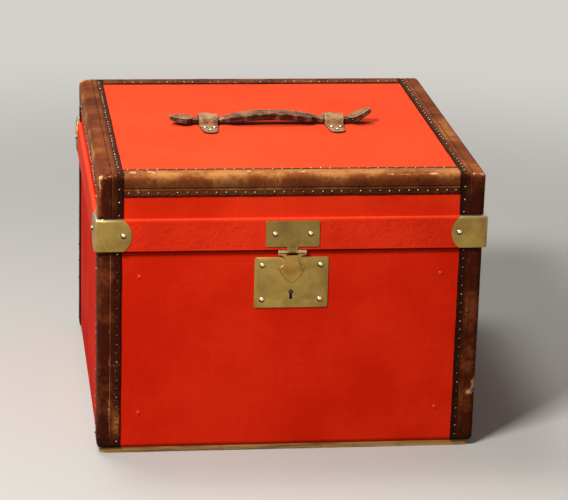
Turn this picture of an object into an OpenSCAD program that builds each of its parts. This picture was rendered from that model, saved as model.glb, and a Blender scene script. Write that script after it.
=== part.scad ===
// Flat-top trunk: a wooden case in painted canvas, bound with nailed leather,
// with a deep lid, a proud band, brass corners, a hasp lock and a leather carrying handle.
// Millimetres. The origin is on the ground under the middle of the trunk, the front faces -Y, up is +Z.

/* [Trunk] */
// Width over the leather, left to right
trunk_w = 480; // [420:5:560]
// Depth over the leather, front to back
trunk_d = 484; // [420:5:560]
// Height over the leather
trunk_h = 364; // [340:2:420]
// Height of the body's rim, where the lid begins
rim_z = 279; // [265:1:290]
// Thickness of the base board
base_t = 7; // [5:0.5:10]
// How far the base board's edge stands back from the leather
base_back = 4; // [3:0.5:8]
// Gap between the body's rim and the lid's rim
rim_gap = 0.4; // [0.2:0.1:1]

/* [Walls] */
// Thickness of the poplar boards
board_t = 10; // [9:0.5:13]
// Thickness of the painted canvas
canvas_t = 1; // [0.8:0.1:1.5]
// Thickness of the lining
lining_t = 1; // [0.5:0.1:1.5]
// Radius of the upright edges over the leather
edge_r = 8; // [6:0.5:11]
// Radius of the lid's top edges over the leather
top_r = 8; // [6:0.5:11]
// Radius of the body's bottom edges over the leather
bottom_r = 10; // [8:0.5:14]
// Height of that radius's centre over the base board
bottom_lift = 6; // [5:0.5:8]
// Fingers of each comb joint at the body's corners
body_fingers = 17; // [9:2:21]
// Fingers of each comb joint at the lid's corners
lid_fingers = 5; // [3:2:9]

/* [Leather bindings] */
// Thickness of the leather
leather_t = 2; // [1.5:0.1:2.5]
// Width of the upright strips on each face
post_w = 30; // [24:1:40]
// Width of the lid's side strips on the top face
side_top_w = 32; // [24:1:40]
// Drop of the lid's side strips on the side face
side_drop = 28; // [20:1:36]
// Width of the lid's front strip on the top face
front_top_w = 28; // [20:1:36]
// Width of the lid's back strip on the top face
back_top_w = 31; // [20:1:36]
// Drop of the lid's front and back strips
front_drop = 28; // [20:1:36]
// Gap in the seam where two strips butt
seam = 0.4; // [0.2:0.1:1]

/* [Band and brass corners] */
// Height of the band round the lid
band_h = 40; // [34:1:46]
// How far the band hangs below the body's rim
band_drop = 11; // [6:1:16]
// How far the band stands proud of the canvas
band_proud = 5.5; // [5:0.5:8]
// Clearance between the band and the body's leather
band_clear = 0.8; // [0.6:0.1:1]
// Plan radius of the band's corners
band_corner_r = 5; // [4:0.5:7]
// Radius of the band's upper edge
band_edge_r = 3; // [1.5:0.5:4]
// Thickness of the sheet brass
brass_t = 0.8; // [0.6:0.1:1.2]
// Length of each leg of a corner, from its outer arris to its round end
corner_leg = 46; // [38:1:54]
// Radius of the round end of a leg
corner_end_r = 25; // [24:0.5:34]
// Distance of the corner nail from the tip of a leg
corner_nail_in = 10; // [8:0.5:14]

/* [Lock] */
// Height of the lock plate
lock_h = 66; // [60:1:72]
// Height of the lock plate's top edge
lock_top_z = 257; // [254:0.5:259]
// Thickness of the lock plate and the hasp plate
plate_t = 1.2; // [1:0.1:1.6]
// Corner radius of both plates
plate_r = 2.5; // [1:0.5:4]
// Distance of the lock plate's nails beside the lock case
lock_nail_out = 3.3; // [2.6:0.1:6]
// Distance of those nails from the lock plate's side edges
lock_nail_side = 9.7; // [6:0.1:12]
// Distance of those nails from the lock plate's top and bottom edges
lock_nail_in = 10.5; // [7:0.5:12]
// Height of the keyhole's round end
keyhole_z = 211.4; // [209:0.1:213]
// Radius of the keyhole's round end
keyhole_r = 3; // [2.5:0.1:3.5]
// Width of the keyhole's slot
keyhole_slot_w = 3.6; // [3:0.1:4]
// Whole height of the keyhole
keyhole_h = 12.4; // [11:0.1:14]
// Width of the lock case
case_w = 66; // [60:1:72]
// Depth of the lock case behind the plate
case_d = 8; // [7.5:0.1:9]
// Wall of the lock case
case_wall = 1; // [0.8:0.1:1.2]
// Travel of the bolt
bolt_travel = 8; // [6:0.5:9]
// Thickness of the bolt
bolt_t = 3; // [2.5:0.1:3.2]

/* [Hasp] */
// Width of the hasp plate
hasp_plate_w = 67; // [60:1:80]
// Height of the hasp plate
hasp_plate_h = 34; // [28:1:35]
// Hasp plate's lower edge above the band's lower edge
hasp_plate_up = 3.5; // [3:0.5:5]
// Half the distance between the hasp plate's nails
hasp_nail_x = 22; // [15:0.5:26]
// Outer radius of the hasp's knuckles
hasp_barrel_r = 2.6; // [2.4:0.1:2.8]
// Length of the hasp's hinge
hasp_barrel_len = 35; // [30:1:40]
// Length of the hasp plate's own knuckle, in the middle
hasp_middle_len = 14; // [10:0.5:16]
// Radius of the hasp's pin
hasp_pin_r = 1.3; // [1.1:0.1:1.5]
// Thickness of the hasp at its edges
hasp_t = 2; // [1.6:0.1:2.4]
// How much thicker the hasp is in the middle
hasp_crown = 1.2; // [0.4:0.1:1.5]
// Height of the shield's lower point
hasp_point_z = 224.6; // [222:0.2:228]
// Height of the shield's shoulders
shoulder_z = 245; // [243:0.5:246]
// Half the width of the neck at its narrowest
neck_half = 8.3; // [6.5:0.1:9]
// Radius of the curves beside the neck
neck_r = 7.5; // [6.5:0.1:7.5]
// Radius of the shield's sides
shield_r = 29; // [28:0.5:32]
// Half the width of the shield at its shoulders
shield_half = 16.8; // [15:0.1:18]
// Thickness of the lug on the hasp's back
lug_t = 3; // [2.5:0.1:3.4]
// Height of the lug
lug_h = 9; // [8.5:0.1:10]
// Height of the lug's middle
lug_z = 238; // [237:0.5:239]

/* [Lid hinges] */
// Distance of each hinge from the middle
hinge_x = 130; // [90:5:170]
// Length of a hinge
hinge_len = 56; // [48:1:70]
// Length of the lid leaf's knuckle
hinge_mid_len = 20; // [16:1:24]
// Height of each leaf
hinge_leaf_h = 28; // [24:1:32]
// Thickness of a leaf
hinge_t = 1.6; // [1.2:0.1:2]
// Outer radius of the knuckles
hinge_barrel_r = 2.8; // [2.6:0.1:3.4]
// Radius of the hinge pins
hinge_pin_r = 1.5; // [1.3:0.1:1.8]

/* [Handle] */
// Distance of each loop's middle from the middle of the lid
loop_x = 83; // [78:1:95]
// Width of a loop
loop_w = 25; // [22:1:30]
// How much each side of a loop's tab draws in towards its tip
tab_taper = 2.5; // [0.5:0.5:4]
// Thickness of the loop's leather
loop_t = 2.5; // [2:0.1:3]
// Reach of a loop's tabs to the front and the back
loop_reach = 50; // [44:1:56]
// Headroom under a loop
loop_room = 10.3; // [9.5:0.1:12]
// Width of the strap inside the loops
neck_w = 12; // [10:0.5:14]
// Thickness of the strap
strap_t = 7.6; // [6:0.2:8.4]
// Width of the strap in the hand
grip_w = 22; // [16:0.5:24]
// Height of the strap's arch over its ends
grip_rise = 7.6; // [7:0.2:12]
// Length of an end pad
pad_len = 31; // [26:0.5:36]
// Width of an end pad at its shoulder
pad_w = 25; // [20:0.5:28]
// Width of an end pad at its tip
pad_tip_w = 15; // [12:0.5:18]
// Thickness of an end pad
pad_t = 9.6; // [8:0.2:12]
// Free play between an end pad and its loop
pad_play = 6.6; // [6.4:0.1:9]
// Tilt of the left end pad
pad_tilt_left = 8; // [0:1:25]
// Tilt of the right end pad
pad_tilt_right = 26; // [0:1:30]

/* [Nails and rivets] */
// Radius of the brass nail heads
nail_head_r = 3.6; // [3:0.1:4]
// Radius of the handle's nail heads
tack_head_r = 3.4; // [2.5:0.1:3.5]
// Radius of every shank
shank_r = 1.1; // [0.9:0.1:1.3]
// Clearance of a shank in its hole
shank_gap = 0.04; // [0.02:0.01:0.08]
// Radius of the painted rivet heads
rivet_head_r = 2.8; // [2.4:0.1:3.5]
// Distance of the front rivets from the upright leather
rivet_in = 22; // [12:1:60]
// Heights of the lower front rivets
rivet_low_z = 54; // [40:1:80]
// Heights of the upper front rivets
rivet_high_z = 233; // [220:1:240]
// Distance of the top rivets from the lid's side leather
rivet_top_in = 23; // [12:1:60]
// Distance of the top rivets from the middle, front to back
rivet_top_y = 102; // [80:1:140]
// Radius of the washers inside
washer_r = 5; // [4.5:0.5:7]
// Thickness of the washers inside
washer_t = 1; // [0.8:0.1:1.5]

/* [Hidden] */
$fn = 64;

// Insets from the leather's outer face: canvas face, board face, inside of the boards, inside of the lining
canvas_in = leather_t;
board_in = canvas_in + canvas_t;
wall_in = board_in + board_t;
room_in = wall_in + lining_t;

// Half sizes of those faces
half_w = trunk_w / 2;
half_d = trunk_d / 2;
canvas_x = half_w - canvas_in;
canvas_y = half_d - canvas_in;
canvas_z = trunk_h - canvas_in;
roof_z = trunk_h - wall_in;
lid_z = rim_z + rim_gap;

// Band and brass corners
band_z = rim_z - band_drop;
band_top = band_z + band_h;
band_x = canvas_x + band_proud;
band_y = canvas_y + band_proud;
band_relief = leather_t + band_clear;
brass_x = band_x + brass_t;
brass_y = band_y + brass_t;
corner_z = band_z + band_h / 2;
lid_leather_z = band_top + brass_t + 0.1;
mitre_depth = 29;

// Lid hinges: the axis lies just outside the band, level with its lower edge
hinge_gap = 0.3;
hinge_y = band_y + hinge_gap + hinge_barrel_r;
hinge_z = band_z;
knuckle_gap = 0.4;
pin_fit = 0.05;
press_fit = 0.02;
pin_head = 0.7;
leaf_nail_low = 7;
leaf_nail_end = 9;

// Hasp: its axis lies under the band, with its barrel tangent to the hasp plate's face
hasp_gap = 0.3;
hasp_stand = 0.4;
hasp_y = -(band_y + plate_t - hasp_barrel_r);
hasp_axis_z = band_z - hasp_barrel_r - hasp_gap;
hasp_back_y = -(canvas_y + plate_t + hasp_stand);
hasp_plate_z = band_z + hasp_plate_up + hasp_plate_h / 2;
knuckle_room = 2.4;

// Lug: its tip stays clear of the case's back, and the bolt passes between the tip's nose and the hasp
lug_gap = 0.6;
lug_nose = 1;
lug_tip_y = -(canvas_y - case_d + case_wall + lug_gap);

// Lock: the case hangs behind the plate, between its nails
lock_nail_x = case_w / 2 + lock_nail_out;
lock_w = 2 * (lock_nail_x + lock_nail_side);
lock_mid_z = lock_top_z - lock_h / 2;
case_top = lock_top_z - 7;
case_low = lock_top_z - lock_h + 8;
case_fit = 0.3;
slot_w = lug_t + 0.9;
slot_low = lug_z - lug_h / 2 - 2;
drill_pin_r = 1.1;
drill_pin_back = 0.4;

// Bolt: a tongue at the lug's height, a web with a slot for the guide stud, and a tail with the key's notch
bolt_gap = 0.3;
bolt_y = lug_tip_y - lug_nose - bolt_gap - bolt_t;
tongue_h = 4;
tongue_gap = 0.4;
tongue_x = -slot_w / 2 - 0.75;
guide_x = -case_w / 2 + case_wall + 12;
guide_z = lug_z - 6;
guide_r = 1.6;
guide_fit = 0.15;
web_w = 17;
web_x = guide_x - 11;
tail_z = keyhole_z + 7.5;
tail_h = 7;
tail_len = 43;
notch_r = 3;
spring_z = lug_z + tongue_h / 2 + 0.2;
spring_r = 12;
spring_t = 0.6;
spring_w = 26;

// Handle: the strap runs through the loops and arches up between them
strap_seat = 1.2;
strap_side = 0.8;
strap_z = canvas_z + strap_seat;
loop_half = neck_w / 2 + strap_side;
loop_edge = loop_x + loop_w / 2;
loop_r = 5;
tack_rows = [loop_reach - 24, loop_reach - 12];
tack_half = 6;

// The grip and the two ends meet at 45 degree scarfs, with a hair of a gap between them
scarf_x = loop_x - loop_w / 2 - 4;
scarf_lap = 3;
scarf_gap = 0.4;
arch_r = (pow(scarf_x, 2) + pow(grip_rise, 2)) / (2 * grip_rise);
grip_half = scarf_x - 14;
grip_taper = 10;

// End pads: three layers with a groove at each seam
pad_x = loop_edge + pad_play;
pad_drop = 0.6;
pad_groove = 0.6;
pad_cross = 9;
pad_lap = 6;

// Nails and rivets: heights of the heads, and how deep the shanks go below a plate or a tab
nail_head_h = 2.2;
tack_head_h = 1.9;
flat_head_h = 1.2;
leaf_head_r = 2.4;
board_nail = 8;
band_nail = 4.6;
tack_nail = 7.5;
rivet_len = room_in - canvas_in + washer_t;
rivet_x = half_w - post_w - rivet_in;
rivet_top_x = half_w - side_top_w - rivet_top_in;

// Nail and rivet places
lock_nail_spots = [for (x = [-1, 1], z = [lock_top_z - lock_nail_in, lock_top_z - lock_h + lock_nail_in])
    [x * lock_nail_x, z]];
rivet_spots = [for (x = [-1, 1], z = [rivet_low_z, rivet_high_z]) [x * rivet_x, z]];
top_rivet_spots = [for (x = [-1, 1], y = [-1, 1]) [x * rivet_top_x, y * rivet_top_y]];
tack_spots = [for (s = [-1, 1])
    for (p = [[-tack_half, tack_rows[0]], [tack_half, tack_rows[0]], [0, tack_rows[1]]]) [p[0], s * p[1]]];
leaf_nail_x = [-hinge_len / 2 + leaf_nail_end, 0, hinge_len / 2 - leaf_nail_end];

// General forms

// Flat rectangle with round corners, about its middle
module rounded_rect(w, h, r) {
    square([w - 2 * r, h], center = true);
    square([w, h - 2 * r], center = true);
    for (x = [-1, 1], y = [-1, 1])
        translate([x * (w / 2 - r), y * (h / 2 - r)]) circle(r);
}

// Block from z0 to z1 whose upright edges and whose level edges are rounded
module rounded_block(w, d, z0, z1, upright_r, level_r) {
    intersection() {
        translate([0, 0, z0]) linear_extrude(z1 - z0) rounded_rect(w, d, upright_r);
        translate([0, 0, (z0 + z1) / 2]) rotate([90, 0, 0])
            linear_extrude(d, center = true) rounded_rect(w, z1 - z0, level_r);
        translate([0, 0, (z0 + z1) / 2]) rotate([90, 0, 90])
            linear_extrude(w, center = true) rounded_rect(d, z1 - z0, level_r);
    }
}

// Everything between two heights
module slab(z0, z1) {
    translate([-trunk_w, -trunk_d, z0]) cube([2 * trunk_w, 2 * trunk_d, z1 - z0]);
}

// Upright box between two corners
module box(a, b) {
    translate(a) cube(b - a);
}

// Turns a form that points up so that it points out of a face
module facing(side) {
    turn = side == "front" ? [90, 0, 0] : side == "back" ? [-90, 0, 0]
        : side == "left" ? [0, -90, 0] : side == "right" ? [0, 90, 0] : [0, 0, 0];
    rotate(turn) children();
}

// Nail along the axis, its domed head from z = 0 up and its shank going down
module nail(head_r, head_h, length) {
    ball = (head_r * head_r + head_h * head_h) / (2 * head_h);
    intersection() {
        translate([0, 0, head_h - ball]) sphere(ball);
        cylinder(h = head_h + 1, r = head_r);
    }
    translate([0, 0, -length]) cylinder(h = length + 0.2, r = shank_r);
}

// Hole for a nail or rivet, from a little above z = 0 down
module nail_hole(length) {
    translate([0, 0, -length - 0.2]) cylinder(h = length + 1.2, r = shank_r + shank_gap);
}

// Outer forms of the body and the lid, set in from the leather's face
module body_form(inset) {
    low = base_t + bottom_lift - bottom_r + inset;
    intersection() {
        rounded_block(trunk_w - 2 * inset, trunk_d - 2 * inset, low, rim_z + bottom_r,
            edge_r - inset, bottom_r - inset);
        slab(base_t, rim_z);
    }
}

module lid_form(inset) {
    intersection() {
        rounded_block(trunk_w - 2 * inset, trunk_d - 2 * inset, lid_z - top_r, trunk_h - inset,
            edge_r - inset, top_r - inset);
        slab(lid_z, trunk_h);
    }
}

// Four corner columns where the boards are combed together
module corner_columns() {
    for (x = [-1, 1], y = [-1, 1])
        translate([x * (half_w - wall_in / 2), y * (half_d - wall_in / 2), 0])
            translate([-wall_in / 2, -wall_in / 2, 0]) cube([wall_in, wall_in, trunk_h]);
}

// Every second finger of a comb joint, as slices of the corner columns
module comb(z0, z1, count, first) {
    step = (z1 - z0) / count;
    intersection() {
        corner_columns();
        union() {
            for (i = [first : 2 : count - 1]) slab(z0 + i * step, z0 + (i + 1) * step);
        }
    }
}

// A front or back wall of a form, combed at its ends
module long_wall(s, z0, z1, count) {
    difference() {
        intersection() {
            children();
            translate([-half_w, s > 0 ? half_d - wall_in : -half_d, z0]) cube([trunk_w, wall_in, z1 - z0]);
        }
        comb(z0, z1, count, 1);
    }
}

// A left or right wall of a form, combed into the long walls
module short_wall(s, z0, z1, count) {
    difference() {
        intersection() {
            children();
            translate([s > 0 ? half_w - wall_in : -half_w, -half_d, z0]) cube([wall_in, trunk_d, z1 - z0]);
        }
        comb(z0, z1, count, 0);
    }
}

// Holes and pockets that several layers share

module lock_nail_holes() {
    for (p = lock_nail_spots)
        translate([p[0], -canvas_y - plate_t, p[1]]) facing("front") nail_hole(plate_t + board_nail);
}

module rivet_holes() {
    for (p = rivet_spots) translate([p[0], -canvas_y, p[1]]) facing("front") nail_hole(wall_in);
}

module top_rivet_holes() {
    for (p = top_rivet_spots) translate([p[0], p[1], canvas_z]) nail_hole(wall_in);
}

module tack_holes() {
    for (x = [-loop_x, loop_x], p = tack_spots)
        translate([x + p[0], p[1], canvas_z + loop_t]) nail_hole(loop_t + tack_nail);
}

module body_leaf_holes() {
    for (h = [-hinge_x, hinge_x], x = leaf_nail_x)
        translate([h + x, canvas_y + hinge_t, hinge_z - hinge_leaf_h + leaf_nail_low]) facing("back")
            nail_hole(hinge_t + board_nail);
}

module lid_leaf_holes() {
    for (h = [-hinge_x, hinge_x], x = leaf_nail_x)
        translate([h + x, band_y + hinge_t, hinge_z + hinge_leaf_h - leaf_nail_low]) facing("back")
            nail_hole(hinge_t + band_nail);
}

// Pocket for the lock case, with the narrow channel by which the lug can also lift out upwards
module lock_pocket(fit) {
    box([-case_w / 2 - fit, -canvas_y - 1, case_low - fit],
        [case_w / 2 + fit, -canvas_y + case_d + fit, case_top + fit]);
    box([-slot_w / 2, -canvas_y - 1, case_top], [slot_w / 2, lug_tip_y + 0.5, rim_z + 1]);
}

// Body: base and walls

module base_board() {
    color("burlywood") linear_extrude(base_t)
        rounded_rect(trunk_w - 2 * base_back, trunk_d - 2 * base_back, edge_r);
}

module front_board() {
    color("burlywood") difference() {
        long_wall(-1, base_t, rim_z, body_fingers) body_form(board_in);
        lock_pocket(case_fit);
        lock_nail_holes();
        rivet_holes();
    }
}

module back_board() {
    color("burlywood") difference() {
        long_wall(1, base_t, rim_z, body_fingers) body_form(board_in);
        body_leaf_holes();
    }
}

module left_board() {
    color("burlywood") short_wall(-1, base_t, rim_z, body_fingers) body_form(board_in);
}

module right_board() {
    color("burlywood") short_wall(1, base_t, rim_z, body_fingers) body_form(board_in);
}

module body_canvas() {
    color("firebrick") difference() {
        body_form(canvas_in);
        body_form(board_in);
        lock_pocket(case_fit);
        lock_nail_holes();
        rivet_holes();
        body_leaf_holes();
    }
}

module body_lining() {
    color("wheat") difference() {
        box([-half_w + wall_in, -half_d + wall_in, base_t], [half_w - wall_in, half_d - wall_in, rim_z]);
        box([-half_w + room_in, -half_d + room_in, base_t + lining_t],
            [half_w - room_in, half_d - room_in, rim_z + 1]);
        rivet_holes();
    }
}

// Upright leather strip folded round one corner of the body
module body_binding(x, y) {
    color("saddlebrown") intersection() {
        difference() {
            body_form(0);
            body_form(canvas_in);
        }
        box([x > 0 ? half_w - post_w : -half_w, y > 0 ? half_d - post_w : -half_d, base_t],
            [x > 0 ? half_w : -half_w + post_w, y > 0 ? half_d : -half_d + post_w, rim_z]);
    }
}

// Lock

module keyhole() {
    circle(keyhole_r);
    translate([-keyhole_slot_w / 2, keyhole_r - keyhole_h]) square([keyhole_slot_w, keyhole_h - keyhole_r]);
}

module lock_plate() {
    color("darkgoldenrod") difference() {
        translate([0, -canvas_y, lock_mid_z]) rotate([90, 0, 0])
            linear_extrude(plate_t) rounded_rect(lock_w, lock_h, plate_r);
        translate([0, -canvas_y + 1, keyhole_z]) rotate([90, 0, 0]) linear_extrude(plate_t + 2) keyhole();
        box([-slot_w / 2, -canvas_y - plate_t - 1, slot_low], [slot_w / 2, -canvas_y + 1, lock_top_z + 1]);
        lock_nail_holes();
    }
}

module lock_case() {
    inner_y = -canvas_y + case_d - case_wall;
    color("silver") {
        difference() {
            box([-case_w / 2, -canvas_y, case_low], [case_w / 2, -canvas_y + case_d, case_top]);
            box([-case_w / 2 + case_wall, -canvas_y - 1, case_low + case_wall],
                [case_w / 2 - case_wall, inner_y, case_top - case_wall]);
            box([-slot_w / 2, -canvas_y - 1, case_top - case_wall - 1],
                [slot_w / 2, lug_tip_y + 0.5, case_top + 1]);
            translate([0, inner_y - 1, keyhole_z]) facing("back")
                cylinder(h = case_wall + 2, r = drill_pin_r);
        }
        // Guide stud for the bolt's slot
        translate([guide_x, inner_y + 0.1, guide_z]) facing("front")
            cylinder(h = inner_y - bolt_y + 0.6, r = guide_r);
    }
}

module lock_drill_pin() {
    color("silver") translate([0, -canvas_y + case_d, keyhole_z]) facing("front")
        cylinder(h = case_d + plate_t - drill_pin_back, r = drill_pin_r);
}

module bolt_outline() {
    slot_r = guide_r + guide_fit;
    difference() {
        union() {
            translate([web_x, lug_z - tongue_h / 2]) square([tongue_x - web_x, tongue_h]);
            translate([web_x, tail_z]) square([web_w, lug_z - tail_z]);
            translate([web_x, tail_z]) square([tail_len, tail_h]);
        }
        translate([guide_x - bolt_travel, guide_z]) circle(slot_r);
        translate([guide_x, guide_z]) circle(slot_r);
        translate([guide_x - bolt_travel, guide_z - slot_r]) square([bolt_travel, 2 * slot_r]);
        translate([-bolt_travel / 2, tail_z]) circle(notch_r);
    }
}

module lock_bolt() {
    color("silver") translate([0, bolt_y + bolt_t, 0]) rotate([90, 0, 0])
        linear_extrude(bolt_t) bolt_outline();
}

// Bow spring between the case's top wall and the bolt's back edge
module lock_spring() {
    color("dimgray") translate([0, bolt_y + bolt_t, 0]) rotate([90, 0, 0])
        linear_extrude(bolt_t) intersection() {
            translate([web_x + spring_w / 2, spring_z + spring_r]) difference() {
                circle(spring_r);
                circle(spring_r - spring_t);
            }
            translate([web_x, spring_z]) square([spring_w, case_top - case_wall - spring_z]);
        }
}

module lock_plate_nails() {
    color("gold") for (p = lock_nail_spots)
        translate([p[0], -canvas_y - plate_t, p[1]]) facing("front")
            nail(nail_head_r, nail_head_h, plate_t + board_nail);
}

// Painted rivets and the washers that back them inside

module body_rivets() {
    color("red") for (p = rivet_spots)
        translate([p[0], -canvas_y, p[1]]) facing("front") nail(rivet_head_r, flat_head_h, rivet_len);
}

module washer() {
    difference() {
        cylinder(h = washer_t, r = washer_r);
        translate([0, 0, -1]) cylinder(h = washer_t + 2, r = shank_r + shank_gap);
    }
}

module body_rivet_washers() {
    color("silver") for (p = rivet_spots)
        translate([p[0], -half_d + room_in, p[1]]) facing("back") washer();
}

// Lid hinges on the back

// One round knuckle along X about a hinge's axis
module knuckle(x0, x1, y, z, r) {
    translate([x0, y, z]) rotate([0, 90, 0]) cylinder(h = x1 - x0, r = r);
}

module hinge_body_leaf(h) {
    mid = hinge_mid_len / 2 + knuckle_gap;
    end = hinge_len / 2;
    low = hinge_z - hinge_leaf_h - 2;
    run_top = hinge_z - hinge_barrel_r + hinge_t;
    color("silver") difference() {
        union() {
            box([h - end, canvas_y, low], [h + end, canvas_y + hinge_t, run_top]);
            box([h - end, canvas_y, run_top - hinge_t], [h + end, hinge_y, run_top]);
            knuckle(h - end, h - mid, hinge_y, hinge_z, hinge_barrel_r);
            knuckle(h + mid, h + end, hinge_y, hinge_z, hinge_barrel_r);
        }
        box([h - mid, hinge_y - hinge_barrel_r - knuckle_gap, low],
            [h + mid, hinge_y + 3 * hinge_barrel_r, hinge_z + 3 * hinge_barrel_r]);
        knuckle(h - end - 1, h + end + 1, hinge_y, hinge_z, hinge_pin_r + press_fit);
        body_leaf_holes();
    }
}

module hinge_lid_leaf(h) {
    mid = hinge_mid_len / 2;
    end = hinge_len / 2;
    plate_low = hinge_z + hinge_barrel_r + knuckle_gap;
    color("silver") difference() {
        union() {
            box([h - end, band_y, plate_low], [h + end, band_y + hinge_t, hinge_z + hinge_leaf_h]);
            box([h - mid, band_y, hinge_z], [h + mid, band_y + hinge_t, plate_low]);
            knuckle(h - mid, h + mid, hinge_y, hinge_z, hinge_barrel_r);
        }
        knuckle(h - end - 1, h + end + 1, hinge_y, hinge_z, hinge_pin_r + pin_fit);
        lid_leaf_holes();
    }
}

module hinge_pin(h) {
    end = hinge_len / 2;
    color("gray") {
        knuckle(h - end - pin_head, h + end + pin_head, hinge_y, hinge_z, hinge_pin_r);
        for (x = [h - end - pin_head, h + end])
            knuckle(x, x + pin_head, hinge_y, hinge_z, hinge_pin_r + pin_head);
    }
}

module hinge_body_rivets() {
    color("gray") for (h = [-hinge_x, hinge_x], x = leaf_nail_x)
        translate([h + x, canvas_y + hinge_t, hinge_z - hinge_leaf_h + leaf_nail_low]) facing("back")
            nail(leaf_head_r, flat_head_h, hinge_t + board_nail);
}

module hinge_lid_rivets() {
    color("gray") for (h = [-hinge_x, hinge_x], x = leaf_nail_x)
        translate([h + x, band_y + hinge_t, hinge_z + hinge_leaf_h - leaf_nail_low]) facing("back")
            nail(leaf_head_r, flat_head_h, hinge_t + band_nail);
}

// Lid: top and rails

module lid_top_board() {
    color("burlywood") difference() {
        intersection() {
            lid_form(board_in);
            slab(roof_z, trunk_h);
        }
        top_rivet_holes();
        tack_holes();
    }
}

module lid_front_rail() {
    color("burlywood") long_wall(-1, lid_z, roof_z, lid_fingers) lid_form(board_in);
}

module lid_back_rail() {
    color("burlywood") long_wall(1, lid_z, roof_z, lid_fingers) lid_form(board_in);
}

module lid_left_rail() {
    color("burlywood") short_wall(-1, lid_z, roof_z, lid_fingers) lid_form(board_in);
}

module lid_right_rail() {
    color("burlywood") short_wall(1, lid_z, roof_z, lid_fingers) lid_form(board_in);
}

module lid_canvas() {
    color("red") difference() {
        lid_form(canvas_in);
        lid_form(board_in);
        top_rivet_holes();
        tack_holes();
    }
}

module lid_lining() {
    color("wheat") difference() {
        box([-half_w + wall_in, -half_d + wall_in, lid_z], [half_w - wall_in, half_d - wall_in, roof_z]);
        box([-half_w + room_in, -half_d + room_in, lid_z - 1],
            [half_w - room_in, half_d - room_in, roof_z - lining_t]);
        top_rivet_holes();
    }
}

// Leather of the lid

module lid_leather() {
    intersection() {
        difference() {
            lid_form(0);
            lid_form(canvas_in);
        }
        slab(lid_leather_z, trunk_h);
    }
}

// Side strip: up the front corner, back along the top edge and down the back corner
module lid_side_binding(s) {
    color("saddlebrown") intersection() {
        lid_leather();
        union() {
            box([s > 0 ? half_w - side_top_w : -half_w, -half_d, trunk_h - side_drop],
                [s > 0 ? half_w : -half_w + side_top_w, half_d, trunk_h]);
            for (y = [-1, 1])
                box([s > 0 ? half_w - side_top_w : -half_w, y > 0 ? half_d - post_w : -half_d, lid_z],
                    [s > 0 ? half_w : -half_w + side_top_w, y > 0 ? half_d : -half_d + post_w, trunk_h]);
        }
    }
}

// Strip over the front or back top edge, butted between the side strips
module lid_end_binding(s, width) {
    reach = half_w - side_top_w - seam;
    color("saddlebrown") intersection() {
        lid_leather();
        box([-reach, s > 0 ? half_d - width : -half_d, trunk_h - front_drop],
            [reach, s > 0 ? half_d : -half_d + width, trunk_h]);
    }
}

// Band round the lid

module band_form(grow, edge) {
    intersection() {
        rounded_block(2 * (band_x + grow), 2 * (band_y + grow), band_z - 10, band_top + grow,
            band_corner_r + grow, edge);
        slab(band_z, trunk_h);
    }
}

// The band is rebated where it hangs over the body's leather
module band_ring() {
    difference() {
        band_form(0, band_edge_r);
        translate([0, 0, band_z - 1]) linear_extrude(band_h + 2)
            rounded_rect(2 * canvas_x, 2 * canvas_y, edge_r - canvas_in);
        translate([0, 0, band_z - 1]) linear_extrude(band_drop + rim_gap + 1)
            rounded_rect(2 * (canvas_x + band_relief), 2 * (canvas_y + band_relief),
                edge_r - canvas_in + band_relief);
    }
}

// One mitred side of the band
module band_side(turn, along, out) {
    intersection() {
        band_ring();
        rotate([0, 0, turn]) translate([0, 0, band_z]) linear_extrude(band_h)
            polygon([[-along - 1, -out - 1], [along + 1, -out - 1],
                [along - mitre_depth, -out + mitre_depth], [-along + mitre_depth, -out + mitre_depth]]);
    }
}

module corner_nail_holes() {
    for (x = [-1, 1], y = [-1, 1]) {
        translate([x * (brass_x - corner_leg + corner_nail_in), y * brass_y, corner_z])
            facing(y < 0 ? "front" : "back") nail_hole(brass_t + band_nail);
        translate([x * brass_x, y * (brass_y - corner_leg + corner_nail_in), corner_z])
            facing(x < 0 ? "left" : "right") nail_hole(brass_t + band_nail);
    }
}

module hasp_nail_holes() {
    for (x = [-1, 1]) translate([x * hasp_nail_x, -band_y - plate_t, hasp_plate_z]) facing("front")
        nail_hole(plate_t + band_nail);
}

module band_front() {
    color("crimson") difference() {
        band_side(0, band_x, band_y);
        corner_nail_holes();
        hasp_nail_holes();
    }
}

module band_back() {
    color("crimson") difference() {
        band_side(180, band_x, band_y);
        corner_nail_holes();
        lid_leaf_holes();
    }
}

module band_left() {
    color("crimson") difference() {
        band_side(-90, band_y, band_x);
        corner_nail_holes();
    }
}

module band_right() {
    color("crimson") difference() {
        band_side(90, band_y, band_x);
        corner_nail_holes();
    }
}

// Flat outline of one leg of a brass corner, from its arris towards +X
module leg_outline() {
    straight = corner_leg - corner_end_r + sqrt(pow(corner_end_r, 2) - pow(band_h / 2, 2));
    translate([-1, -band_h / 2]) square([straight + 1, band_h + brass_t]);
    intersection() {
        translate([corner_leg - corner_end_r, 0]) circle(corner_end_r);
        translate([0, -band_h / 2]) square([corner_leg, band_h]);
    }
}

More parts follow.
